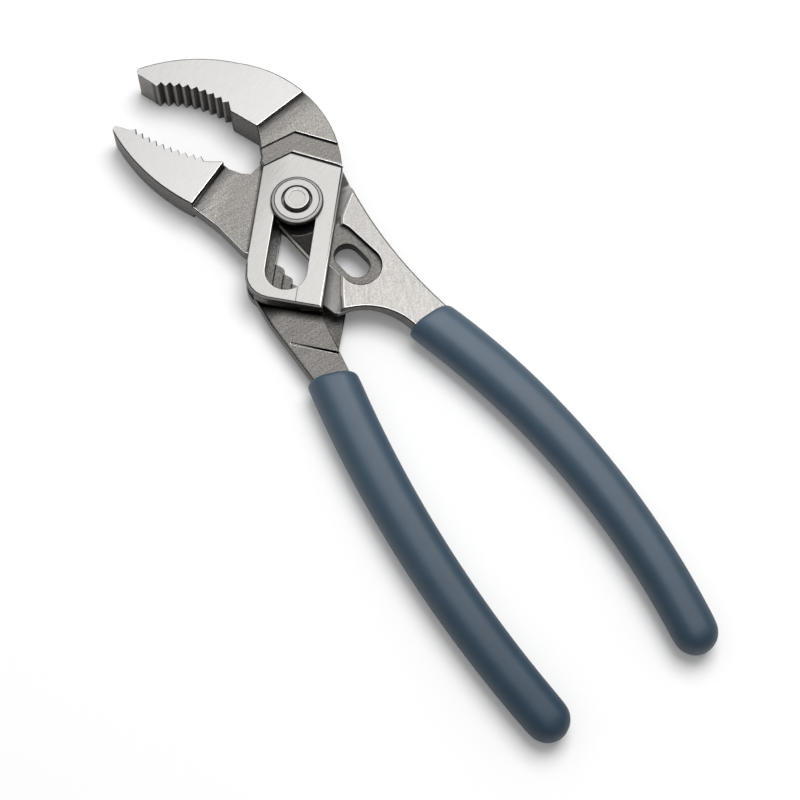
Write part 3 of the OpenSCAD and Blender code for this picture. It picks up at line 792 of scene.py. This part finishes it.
# %% [markdown]
# ## Places on the outer arm
# The upper jaw, its neck, the slotted box and the left arm are one forging. Its edges and faces could be
# picked one by one with the mouse. Small functions that know the drawing do it here, so the choice still
# holds when the mesh gets finer. In the names of places, a side is measured across the slot, a top, a foot
# or an end along it, and a rim, a floor or a level is a height above the bench.

# %% Tell the outer arm's places apart
LEFT_MOUTH, LEFT_HEADING = (20.1, -59.2), -68.7
SLEEVE_COVER = 0.5
BOX_PEAK, BOX_SLOPES, BOX_SIDES = (-4.3, 17.8), (0.7356, -0.1818), (-13.2, 13.4)
BOX_CUT = (9.5, 11.5)
BOX_CORNER, BOX_FOOT_SLOPE, BOX_FOOT_REACH = (-13, -34.85), -0.053, 2
BAND_RISE, STEP_REACH = 7.4, 0.5
LEFT_ARM_TOP = -36.3
GROOVE, GROOVE_SLOPE, GROOVE_FLOOR, GROOVE_SIDES = (12.5, -48.65), -0.083, 6.9, (4.2, 20.9)
GROOVE_LIP, GROOVE_WIDTH = 0.35, 1.2
TEETH_CORNER, NOSE_SIDE = (-26.8, 39.6), -58
NECK_FOOT, JAW_FOOT, JAW_ROOT = 15, 26, (-17, 20)


def in_sleeve(u, v, mouth, heading):
    """Whether a point lies behind a sleeve's mouth, where the sleeve hides it."""
    heading = math.radians(heading)
    depth = (u - mouth[0]) * math.cos(heading) + (v - mouth[1]) * math.sin(heading)
    return depth > SLEEVE_COVER


def on_step(u, v, rise):
    """Whether a point lies on the box's upper border, moved along the slot by a rise."""
    slope = BOX_SLOPES[0] if u < BOX_PEAK[0] else BOX_SLOPES[1]
    border = BOX_PEAK[1] + slope * (u - BOX_PEAK[0]) + rise
    on_cut = rise == 0 and u > BOX_CUT[0] and BOX_CUT[1] < v < border + STEP_REACH
    return BOX_SIDES[0] < u < BOX_SIDES[1] and (abs(v - border) < STEP_REACH or on_cut)


def on_steps(u, v):
    """Whether a point lies on one of the two steps across the neck."""
    return on_step(u, v, 0) or on_step(u, v, BAND_RISE)


def above_groove(u, v):
    """How far a point lies above the lower edge of the groove across the left arm, in millimetres."""
    return v - GROOVE[1] - GROOVE_SLOPE * (u - GROOVE[0])


def at_box_foot(u, v):
    """Whether a point lies at the lower edge of the box or below it."""
    return v - BOX_CORNER[1] - BOX_FOOT_SLOPE * (u - BOX_CORNER[0]) < BOX_FOOT_REACH


def on_teeth(u, v):
    """Whether a point lies on the upper jaw's teeth."""
    return u < TEETH_CORNER[0] and v < TEETH_CORNER[1]


def on_jaw(u, v):
    """Whether a point lies on the upper jaw."""
    return v > JAW_FOOT or (u < JAW_ROOT[0] and v > JAW_ROOT[1])


print("vertices on the upper jaw:", sum(on_jaw(*slot_uv(vert.co)[:2]) for vert in outer.data.vertices))

# %% [markdown]
# ## Outer arm
# The jaw has a thin bright rim, the teeth are almost sharp, the steps across the neck are crisp, and the
# slotted plate is rolled over at its outer border. The jaw's far rim is rounder than its near one, because
# the light from the far edge of the picture has to roll over it.

# %% Shape the outer arm
FAR = picture_right + picture_up
HALFWAY, LOOKING, SAME_LEVEL = 0.5, 0.3, 0.06
BAND_RIMS, JAW_RIMS = (12.5, 1.3), (13.2, 0.6)
BACK_CHEEK, CHEEK_GAP, PLATE_RIM = 4.2, (4.4, 9.9), 10
PLATE_LEFT_SIDE, PLATE_RIGHT_SIDE = -8.5, 12.4
OUTER_RADII = {
    "in sleeve": 0,
    "groove's lower edge": 0.18,
    "groove": 0.05,
    "left arm": 0.35,
    "nose": 1.0,
    "tooth's corner": 0.65,
    "tooth": 0.07,
    "step": 0.36,
    "step's left side": 0.24,
    "far rim of the jaw": 0.8,
    "far rim of the neck": 0.38,
    "jaw": 0.4,
    "rack": 0.12,
    "inside of the box": 0.1,
    "plate's border": 0.8,
    "slot": 0.3,
}


def is_upright(normals):
    """Whether an edge runs up a corner between two walls."""
    return max(abs(normal.z) for normal in normals) < HALFWAY


def looks(normals, way):
    """Whether one of an edge's faces looks a level way."""
    return max(normal.dot(way) for normal in normals) > LOOKING


def on_level(z, *levels):
    """Whether a height is that of one of some level faces, in millimetres."""
    return any(abs(z - level) < SAME_LEVEL for level in levels)


def outside(z, heights):
    """Whether a height lies in front of the first of two heights or behind the second."""
    return z > heights[0] or z < heights[1]


def outer_edge(at, normals):
    """The kind of an edge of the outer arm."""
    u, v, z = at
    upright = is_upright(normals)
    if in_sleeve(u, v, LEFT_MOUTH, LEFT_HEADING):
        return "in sleeve"
    if v < LEFT_ARM_TOP:
        above = above_groove(u, v)
        if abs(above) < GROOVE_WIDTH and z > GROOVE_FLOOR and GROOVE_SIDES[0] < u < GROOVE_SIDES[1]:
            return "groove's lower edge" if above < GROOVE_LIP else "groove"
        return "left arm"
    if upright and u < NOSE_SIDE:
        return "nose"
    if on_teeth(u, v):
        return "tooth's corner" if upright else "tooth"
    if outside(z, BAND_RIMS) and on_steps(u, v):
        return "step" if u > BOX_PEAK[0] else "step's left side"
    if z > BAND_RIMS[0] and v > NECK_FOOT and looks(normals, FAR) and not upright:
        return "far rim of the jaw" if z > JAW_RIMS[0] else "far rim of the neck"
    if on_jaw(u, v):
        return "jaw"
    if on_level(z, BACK_CHEEK):
        return "rack"
    if CHEEK_GAP[0] < z < CHEEK_GAP[1] or upright:
        return "inside of the box"
    if z > PLATE_RIM and (u > PLATE_RIGHT_SIDE or u < PLATE_LEFT_SIDE or at_box_foot(u, v)):
        return "plate's border"
    return "slot"


# The finishes of the outer arm. The walls, the deep shade and the near-black steel are painted shade, the
# neck, band, arm and plate carry painted shading, and the rims' pale greys are a painted highlight.
OUTER_FINISHES = {
    "forged": forged, "ground": ground, "rim": rubbed_and_highlit, "oiled": oiled, "neck": forged_neck,
    "arm": forged_arm, "wall": walls, "rack": forged_rack, "band": forged_band, "plate": plate,
    "deep": deep,
}
print("rims on the outer arm:", weigh_edges(outer, outer_edge, OUTER_RADII))
round_edges(outer, OUTER_FINISHES)

# %% [markdown]
# ## Where the outer arm is ground
# Only the flat faces of the jaw and of the box were on the grinding wheel. They are found by their normal
# and by the level that they lie on. The walls are painted dark as shade, and the neck carries the painted
# shadow under the edge of the jaw's ground face. A rounded edge is three strips of faces: the strip next
# to the flat face can take a painted highlight while the lower ones are painted dark as shade, which
# draws the fine double line that real edges have.

# %% Assign the outer arm's finishes
LEVEL, TOP_STRIP, LOW_STRIP, UPRIGHT = 0.98, 0.9, 0.6, 0.3
OUTER_LEVELS = {"ground": (13.8, 0.0), "plate": (12.2, 1.6), "neck": (13.0, 0.8), "band": (12.6, 1.2)}
WEB_SIDE, NOSE_WALL_SIDE, FRONT_CHEEK_RIM = 13, -53.7, 9.5
TOOTH_WALL_SIDE, TOOTH_WALL_ENDS = -26.5, (30, 38)


def outer_flat(u, v, z):
    """The finish of a level face of the outer arm."""
    for finish, levels in OUTER_LEVELS.items():
        if on_level(z, *levels):
            return finish
    on_cheek = on_level(z, BACK_CHEEK)
    # The web at the back cheek's level is painted in deep shade.
    if v < LEFT_ARM_TOP or u > WEB_SIDE:
        return "deep" if on_cheek else "arm"
    return "rack" if on_cheek else "forged"


def left_arm_finish(u, v, z, tilt, on_rim):
    """The finish of the left arm's rims and walls: painted shade in the groove and on the walls, and a
    painted highlight on the groove's lower edge.
    """
    above = abs(above_groove(u, v))
    if z > GROOVE_FLOOR and on_rim and above < GROOVE_LIP:
        return "rim"
    if z > GROOVE_FLOOR and above < GROOVE_WIDTH:
        return "oiled"
    return "arm" if tilt > LOW_STRIP else "wall"


def step_finish(u, v, tilt, on_rim):
    """The finish of the steps across the neck: painted dark as shade, with a painted bright lip on the right
    of the peak.
    """
    if u > PLATE_RIGHT_SIDE:
        return "wall"
    if tilt > TOP_STRIP and on_rim:
        return "rim" if u > BOX_PEAK[0] else "band" if on_step(u, v, 0) else "neck"
    return "oiled"


def outer_rim(u, v, z, normal):
    """The finish of the other rounded edges of the outer arm: steep strips are painted dark as shade, and
    top strips mostly take the rim's painted highlight.
    """
    tilt = abs(normal.z)
    if (on_teeth(u, v) or u < NOSE_SIDE) and tilt < UPRIGHT:
        return "forged"
    if v > NECK_FOOT or u < JAW_ROOT[0]:
        if tilt < TOP_STRIP:
            return "deep"
        return "rim" if outside(z, JAW_RIMS) else "forged"
    if z > PLATE_RIM and (u < PLATE_LEFT_SIDE or at_box_foot(u, v)) and u < PLATE_RIGHT_SIDE:
        return "ground" if HALFWAY < normal.z < TOP_STRIP else "deep"
    if tilt < LOW_STRIP:
        return "deep" if at_box_foot(u, v) else "wall"
    return "rim"


def outer_finish(at, normal, on_rim):
    """The finish of a face of the outer arm."""
    u, v, z = at
    tilt = abs(normal.z)
    if tilt > LEVEL and not on_rim:
        return outer_flat(u, v, z)
    if v < LEFT_ARM_TOP:
        return left_arm_finish(u, v, z, tilt, on_rim)
    if on_steps(u, v):
        return step_finish(u, v, tilt, on_rim)
    if on_rim:
        return outer_rim(u, v, z, normal)
    # The other walls: painted dark as shade, darkest at the box's foot and between the teeth and the throat,
    # while the nose's wall keeps the skin.
    if z > FRONT_CHEEK_RIM and at_box_foot(u, v):
        return "deep"
    if u < NOSE_WALL_SIDE:
        return "forged"
    return "deep" if u < TOOTH_WALL_SIDE and TOOTH_WALL_ENDS[0] < v < TOOTH_WALL_ENDS[1] else "wall"


paint(outer, OUTER_FINISHES, outer_finish)
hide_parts("outer_arm")
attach(outer, "outer")
print("outer arm:", len(outer.data.polygons), "faces")

# %% [markdown]
# ## Inner arm
# The lower jaw, the tongue inside the box and the right arm are the second forging. The jaw is ground like
# the upper one. The arm is satin, with a rolled rim around the oval hole, and its raised face rolls down
# to the box in a broad slope. It is shaped in the same way as the outer arm.

# %% Shape the inner arm
RIGHT_MOUTH, RIGHT_HEADING = (48.4, -34.5), -46.9
HOLE_START, HOLE_RUN, HOLE_RADIUS = Vector((18.4, -15.6)), Vector((3.8, -3.2)), 4.1
RECESS_REACH, RECESS_SIDE, RECESS_ENDS = 4.2, 7, (-19, -4.5)
RIDGE, RIDGE_SLOPES, RIDGE_SIDE, RIDGE_RIM, RIDGE_REACH = (14.4, -2.4), (-0.14, 0.209), 19.2, 9.4, 0.6
LOW_NOSE_SIDE, LOW_JAW_SIDE = -62.5, -26.5
LOW_TEETH, LOW_TEETH_SLOPE, LOW_TEETH_SIDE = (-44, 5), -0.65, -31
SHOULDER_SIDES, SHOULDER_FOOT = (-26.5, -25), 11
HEEL, HEEL_REACH = (17, -36.5), 1
TONGUE_RIM, HOLE_RIMS, RAISED_RIM = 8.5, (9, 9.42), 10
BORE_REACH = 8
INNER_RADII = {
    "in sleeve": 0,
    "nose": 0.85,
    "shoulder": 0.8,
    "heel": 1.5,
    "tooth": 0.07,
    "tooth's right side": 0.28,
    "corner or bore": 0.3,
    "jaw": 0.45,
    "back": 0.3,
    "slope to the box": 1.3,
    "far rim of the arm": 0.75,
    "arm": 0.45,
    "hole": 0.4,
    "recess": 0.08,
    "tongue": 0.3,
}


def around_hole(u, v):
    """How far a point lies outside the oval hole, in millimetres."""
    beyond = Vector((u, v)) - HOLE_START
    share = min(max(beyond.dot(HOLE_RUN) / HOLE_RUN.length_squared, 0), 1)
    return (beyond - share * HOLE_RUN).length - HOLE_RADIUS


def beside_box(u, v, z):
    """Whether a point is on the edge of the raised face that runs along the box."""
    offsets = [abs(u - RIDGE[0] - slope * (v - RIDGE[1])) for slope in RIDGE_SLOPES]
    return z > RIDGE_RIM and u < RIDGE_SIDE and min(offsets) < RIDGE_REACH


def on_low_teeth(u, v):
    """Whether a point lies on the lower jaw's teeth."""
    return u < LOW_TEETH_SIDE and v > LOW_TEETH[1] + LOW_TEETH_SLOPE * (u - LOW_TEETH[0])


def inner_edge(at, normals):
    """The kind of an edge of the inner arm."""
    u, v, z = at
    upright = is_upright(normals)
    if in_sleeve(u, v, RIGHT_MOUTH, RIGHT_HEADING):
        return "in sleeve"
    if upright and u < LOW_NOSE_SIDE:
        return "nose"
    if upright and SHOULDER_SIDES[0] < u < SHOULDER_SIDES[1] and v > SHOULDER_FOOT:
        return "shoulder"
    if upright and max(abs(u - HEEL[0]), abs(v - HEEL[1])) < HEEL_REACH:
        return "heel"
    if on_low_teeth(u, v):
        return "tooth's right side" if looks(normals, picture_right) and not upright else "tooth"
    if upright or math.hypot(u, v) < BORE_REACH:
        return "corner or bore"
    if u < LOW_JAW_SIDE:
        return "jaw"
    if z < TONGUE_RIM:
        return "back"
    if z > RAISED_RIM:
        if beside_box(u, v, z):
            return "slope to the box"
        away = looks(normals, FAR) and around_hole(u, v) > RECESS_REACH
        return "far rim of the arm" if away else "arm"
    if HOLE_RIMS[0] < z < HOLE_RIMS[1]:
        return "hole"
    return "recess" if u > RECESS_SIDE and RECESS_ENDS[0] < v < RECESS_ENDS[1] else "tongue"


# The finishes of the inner arm. The walls, the deep shade, the near-black steel and the recess are painted
# shade, the strips beside the box and above the hole carry the painted shadow of the box, and the slope and
# the tongue's edge are painted pale as painted light; the rims' pale greys are a painted highlight.
INNER_FINISHES = {
    "forged": forged, "ground": ground, "rim": rubbed_and_highlit, "satin": satin, "tongue": forged_tongue,
    "wall": walls, "beside box": satin_in_painted_shade, "hollow": hollow, "oiled": oiled, "deep": deep,
    "above hole": satin_top, "slope": satin_slope_painted_light, "tongue's edge": tongue_edge_painted_light,
}
print("rims on the inner arm:", weigh_edges(inner, inner_edge, INNER_RADII))
round_edges(inner, INNER_FINISHES)

# %% [markdown]
# ## Where the inner arm is ground
# The lower jaw's flat faces are ground. The raised face of the right arm is satin, the low strip beside
# the box is satin with the painted shadow of the box, and the recess around the hole is painted dark as
# shade. The end of the tongue that shows in the slot has a pale edge, painted as lit, with a painted
# shadow at its foot.

# %% Assign the inner arm's finishes
LOW_JAW_LEVELS, ARM_LEVEL, STRIP_LEVEL, RECESS_LEVEL, TONGUE_BACK = (12.1, 1.7), 11.2, 9.5, 9.3, 4.3
TONGUE_END, TONGUE_END_WAY = Vector((-5, -7.1)), Vector((0.670, 0.742))
TONGUE_END_SIDE, TONGUE_END_REACH = 13, 0.5
STRIP_SIDES, STRIP_FOOT, ARM_SIDE, LOW_JAW_RIM_SIDE = (12, 19), -30, 14, -26
HOLE_TOP, HOLE_REACH, RECESS_WALL_REACH = -9, 0.6, 4
TURNED_TO, TURNED_OFF = 0.2, 0.05


def on_tongue_end(u, v):
    """Whether a point lies on the slanting end of the tongue that shows in the slot."""
    offset = (Vector((u, v)) - TONGUE_END).dot(TONGUE_END_WAY)
    return abs(offset) < TONGUE_END_REACH and TONGUE_END.x < u < TONGUE_END_SIDE


def inner_flat(u, v, z):
    """The finish of a level face of the inner arm."""
    if on_level(z, *LOW_JAW_LEVELS):
        return "ground"
    if on_level(z, ARM_LEVEL) or (u > ARM_SIDE and on_level(z, TONGUE_BACK)):
        return "satin"
    if u > STRIP_SIDES[0] and on_level(z, STRIP_LEVEL):
        return "above hole" if v > HOLE_TOP else "beside box"
    if on_level(z, RECESS_LEVEL):
        return "hollow"
    return "tongue" if on_level(z, STRIP_LEVEL, TONGUE_BACK) else "forged"


def raised_rim(u, v, normal):
    """The finish of the raised face's rims, or None where they are like the other rims. Top strips take the
    rim's painted highlight or stay satin, and lower strips are painted dark as shade.
    """
    shines = normal.z > TOP_STRIP
    far = normal.dot(FAR)
    if around_hole(u, v) < RECESS_REACH:
        return "deep" if far > TURNED_OFF else "rim" if shines else "oiled"
    if far > TURNED_TO:
        return "satin" if abs(normal.z) > TOP_STRIP else "deep"
    if normal.dot(picture_up) < -TURNED_TO:
        return "rim" if shines else "oiled"
    return None


def inner_rim(u, v, z, normal):
    """The finish of the rounded edges of the inner arm: steep strips are painted dark as shade, top strips
    take the rim's painted highlight, and the slope beside the box is painted pale.
    """
    tilt = abs(normal.z)
    if u < LOW_NOSE_SIDE and tilt < UPRIGHT:
        return "wall"
    if on_low_teeth(u, v):
        return "oiled" if normal.dot(picture_right) > TURNED_TO else "rim"
    if beside_box(u, v, z):
        return "slope"
    on_strip = STRIP_SIDES[0] < u < STRIP_SIDES[1] and z < RAISED_RIM
    if on_strip and v < STRIP_FOOT and normal.dot(picture_up) < -TURNED_TO:
        return "deep"
    if u < LOW_JAW_RIM_SIDE:
        return "rim" if tilt > TOP_STRIP else "oiled"
    raised = raised_rim(u, v, normal) if u > ARM_SIDE and z > RAISED_RIM else None
    if raised:
        return raised
    if tilt < LOW_STRIP:
        return "wall"
    return "rim" if z > RAISED_RIM or v < HOLE_TOP or math.hypot(u, v) < BORE_REACH else "forged"


def inner_finish(at, normal, on_rim):
    """The finish of a face of the inner arm."""
    u, v, z = at
    tilt = abs(normal.z)
    from_hole = around_hole(u, v)
    if tilt > LEVEL and not on_rim:
        return inner_flat(u, v, z)
    # The end of the tongue: a painted dark line at its rim, and a pale wall painted as lit.
    if on_tongue_end(u, v):
        return "oiled" if on_rim else "tongue's edge"
    # The hole's walls are painted near-black as shade.
    if from_hole < HOLE_REACH and z < STRIP_LEVEL:
        return "hollow" if tilt > LOW_STRIP else "oiled"
    if on_rim:
        return inner_rim(u, v, z, normal)
    if beside_box(u, v, z):
        return "slope"
    # Walls of the recess that face the near edge are painted near-black as shade; the other walls are
    # painted dark as shade.
    if z > RECESS_LEVEL and HOLE_REACH < from_hole < RECESS_WALL_REACH and normal.dot(FAR) < -TURNED_TO:
        return "oiled"
    return "wall"


paint(inner, INNER_FINISHES, inner_finish)
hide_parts("inner_arm")
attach(inner, "inner")
print("inner arm:", len(inner.data.polygons), "faces")

# %% [markdown]
# ## Pivot
# The bolt, its button and the pieces behind it are turned parts. They could be spun from a profile, but
# the CAD nodes already have the right profiles, so they are copied and rounded like the arms, with smaller
# radii. On the bolt's head the groove around the button is painted dark as shade, the rims are painted
# near-black as dark outlines, and the polished cone at its border is painted pale as a painted highlight,
# with a painted dark line at its outer edge.

# %% Shape the pivot's pieces
BACK_END, BACK_RADIUS = 0.8, 0.06
HEAD_GROOVE_LEVEL, HEAD_GROOVE_REACH = 12.25, 5.3
HEAD_RIM, BUTTON_REACH = 11, 5.6


def turned_edge(at, normals):
    """The kind of an edge of a turned piece: at the back end, which the tool lies on, or in front of it."""
    return "front" if at[2] > BACK_END else "back"


def turned_finish(at, normal, on_rim):
    """The finish of a face of a turned piece."""
    u, v, z = at
    reach, tilt = math.hypot(u, v), abs(normal.z)
    own = "rim" if on_rim else "face"
    # The groove around the button is painted dark as shade, and the sloped faces take the cone's painted
    # highlight.
    if not on_rim and tilt > TOP_STRIP and on_level(z, HEAD_GROOVE_LEVEL) and reach < HEAD_GROOVE_REACH:
        return "wall"
    if not on_rim and HALFWAY < tilt < TOP_STRIP:
        return "cone"
    if z > HEAD_RIM and reach < BUTTON_REACH:
        return "face" if tilt < TOP_STRIP else own
    return "wall" if tilt < HALFWAY else own


def turned_piece(node, name, body, radius, finish):
    """A rounded copy of a turned CAD node, with its finish and body."""
    piece = copy_node(node, name)
    weigh_edges(piece, turned_edge, {"front": radius, "back": BACK_RADIUS}, sharp=25)
    # The bolt's rims are painted near-black as dark outlines; the other pieces' rims take the rubbed finish
    # with its painted highlight.
    rim = oiled if node == "pivot_bolt" else rubbed_and_highlit
    finishes = {"face": finish, "rim": rim, "wall": walls, "cone": polished_and_highlit}
    round_edges(piece, finishes)
    if finish is not oiled:
        paint(piece, finishes, turned_finish)
    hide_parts(node)
    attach(piece, body)
    print(name, len(piece.data.polygons), "faces")


turned_piece("pivot_bolt", "pivot_bolt_steel", "pivot", 0.16, turned)
turned_piece("push_button", "push_button_steel", "button", 0.18, turned)
turned_piece("back_washer", "back_washer_steel", "pivot", 0.1, turned)
turned_piece("retaining_ring", "retaining_ring_steel", "pivot", 0.08, oiled)
turned_piece("lock_key", "lock_key_steel", "button", 0.08, oiled)

# %% [markdown]
# ## Spring
# The button stands on a small coil spring. Its wire is round already, so it is only merged and shaded
# smooth.

# %% Shade the spring
spring = copy_node("button_spring", "button_spring_wire")
spring.data.materials.append(oiled)
only(spring)
bpy.ops.object.shade_smooth_by_angle(angle=math.radians(60))
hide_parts("button_spring")
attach(spring, "pivot")
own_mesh(spring)

# %% [markdown]
# ## Grips
# A sleeve is a rounded bar that follows a gentle bow, narrows to its end and closes in a dome. It could be
# a curve with a bevel, but a curve has one section all along. So it is drawn as by hand: one rounded
# section is made at the mouth, and it is extruded ring by ring along the bow, with a turn and a change of
# size at each ring. A Subdivision Surface modifier then makes it smooth.

# %% Describe a sleeve's rings
GRIP_W, GRIP_END_W, GRIP_T, GRIP_MID = 16.6, 14.4, 13.8, 6.9
MOUTH_RINGS = ((-1.2, 1.9), (-1.15, 1.2), (-0.8, 0.5), (-0.2, 0.12), (1.0, 0.0))
BODY_RINGS = 22
DOME_ANGLES, DOME_POWER, DOME_INSET = (18, 36, 52, 66, 78, 86), 2.5, 0.1


def bow_path(mouth, end, bow, side):
    """Centre of the bow, the angle of the mouth on it and the length to the end's centre, in millimetres."""
    mouth, end = Vector(mouth), Vector(end)
    half = (end - mouth) / 2
    across = Vector((-half.y, half.x)).normalized()
    centre = mouth + half + across * side * math.sqrt(bow**2 - half.length**2)
    start = math.atan2(mouth.y - centre.y, mouth.x - centre.x)
    return centre, start, 2 * bow * math.asin(half.length / bow)


def sleeve_rings(length):
    """Rings from mouth to tip: distance along the bow, half width and half thickness, in millimetres."""
    rings = [(along, GRIP_W / 2 - inset, GRIP_T / 2 - inset) for along, inset in MOUTH_RINGS]
    first = rings[-1][0]
    for ring in range(1, BODY_RINGS + 1):
        along = first + (length - first) * (ring / BODY_RINGS)
        width = GRIP_W + (GRIP_END_W - GRIP_W) * along / length
        rings.append((along, width / 2, GRIP_T / 2))
    dome = GRIP_END_W / 2
    for angle in DOME_ANGLES:
        out = math.sin(math.radians(angle))
        thickness = GRIP_T / 2 * (1 - out**DOME_POWER) ** (1 / DOME_POWER)
        rings.append((length + (dome - DOME_INSET) * out, dome * math.cos(math.radians(angle)), thickness))
    return rings


print("rings in a sleeve:", len(MOUTH_RINGS) + BODY_RINGS + len(DOME_ANGLES))

# %% [markdown]
# ## Extruding along the bow
# The first section is a plane with its corners bevelled. Each later ring is an extrusion of the last one,
# moved along the bow, turned by the change of heading and resized to the new half width and thickness.
# The mouth of the real sleeve is cut at a slant, so the first rings are turned a little further, and that
# extra turn fades out along the first part of the sleeve.

# %% Draw a sleeve
SECTION_CORNER, CORNER_SEGMENTS = 5.0, 5
SLANT_RUN = 40


def draw_sleeve(name, mouth, end, bow, side, slant):
    """A sleeve from its mouth to the centre of its dome, bowed to one side, with a slant in degrees."""
    centre, start, length = bow_path(mouth, end, bow, side)
    rings = sleeve_rings(length)

    def place(along):
        """The middle of a ring in the tool's frame, and the heading of the sleeve there."""
        angle = start + side * along / bow
        point = centre + bow * Vector((math.cos(angle), math.sin(angle)))
        fade = max(0.0, 1 - along / SLANT_RUN)
        heading = angle + side * math.pi / 2 + math.radians(slant) * fade - LEAN
        return Vector((*tool_xy(point.x, point.y), GRIP_MID * MM)), heading

    along, half_width, half_thickness = rings[0]
    spot, heading = place(along)
    turn = (math.pi / 2, 0, heading + math.pi / 2)
    bpy.ops.object.select_all(action="DESELECT")
    bpy.ops.mesh.primitive_plane_add(size=1, location=spot, rotation=turn)
    sleeve = bpy.context.object
    sleeve.name = name
    sleeve.scale = (2 * half_width * MM, 2 * half_thickness * MM, 1)
    bpy.ops.object.transform_apply(location=True, rotation=True, scale=True)
    bpy.ops.object.mode_set(mode="EDIT")
    bpy.ops.mesh.select_all(action="SELECT")
    bpy.ops.mesh.bevel(
        offset=SECTION_CORNER * MM, segments=CORNER_SEGMENTS, affect="VERTICES", profile=0.5
    )
    for along, new_width, new_thickness in rings[1:]:
        new_spot, new_heading = place(along)
        bpy.ops.mesh.extrude_region_move(TRANSFORM_OT_translate={"value": new_spot - spot})
        bpy.ops.transform.rotate(
            value=-(new_heading - heading), orient_axis="Z", center_override=new_spot
        )
        across, up = new_width / half_width, new_thickness / half_thickness
        bpy.ops.transform.resize(value=(across, across, up), center_override=new_spot)
        spot, heading, half_width, half_thickness = new_spot, new_heading, new_width, new_thickness
    bpy.ops.mesh.select_all(action="SELECT")
    bpy.ops.mesh.normals_make_consistent(inside=False)
    bpy.ops.object.mode_set(mode="OBJECT")
    return sleeve


def finish_sleeve(sleeve, node, body):
    """Smooth a sleeve and give it its vinyl and body."""
    only(sleeve)
    smooth = sleeve.modifiers.new("smooth", "SUBSURF")
    smooth.levels = smooth.render_levels = 2
    bpy.ops.object.modifier_apply(modifier=smooth.name)
    bpy.ops.object.shade_smooth()
    sleeve.data.materials.append(vinyl)
    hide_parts(node)
    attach(sleeve, body)
    print(sleeve.name, len(sleeve.data.polygons), "faces")


left_sleeve = draw_sleeve("left_sleeve", LEFT_MOUTH, end=(98.4, -158.5), bow=420, side=1, slant=-8.3)
finish_sleeve(left_sleeve, "left_grip", "outer")
right_sleeve = draw_sleeve("right_sleeve", RIGHT_MOUTH, end=(140, -125.9), bow=275, side=-1, slant=-15.6)
finish_sleeve(right_sleeve, "right_grip", "inner")
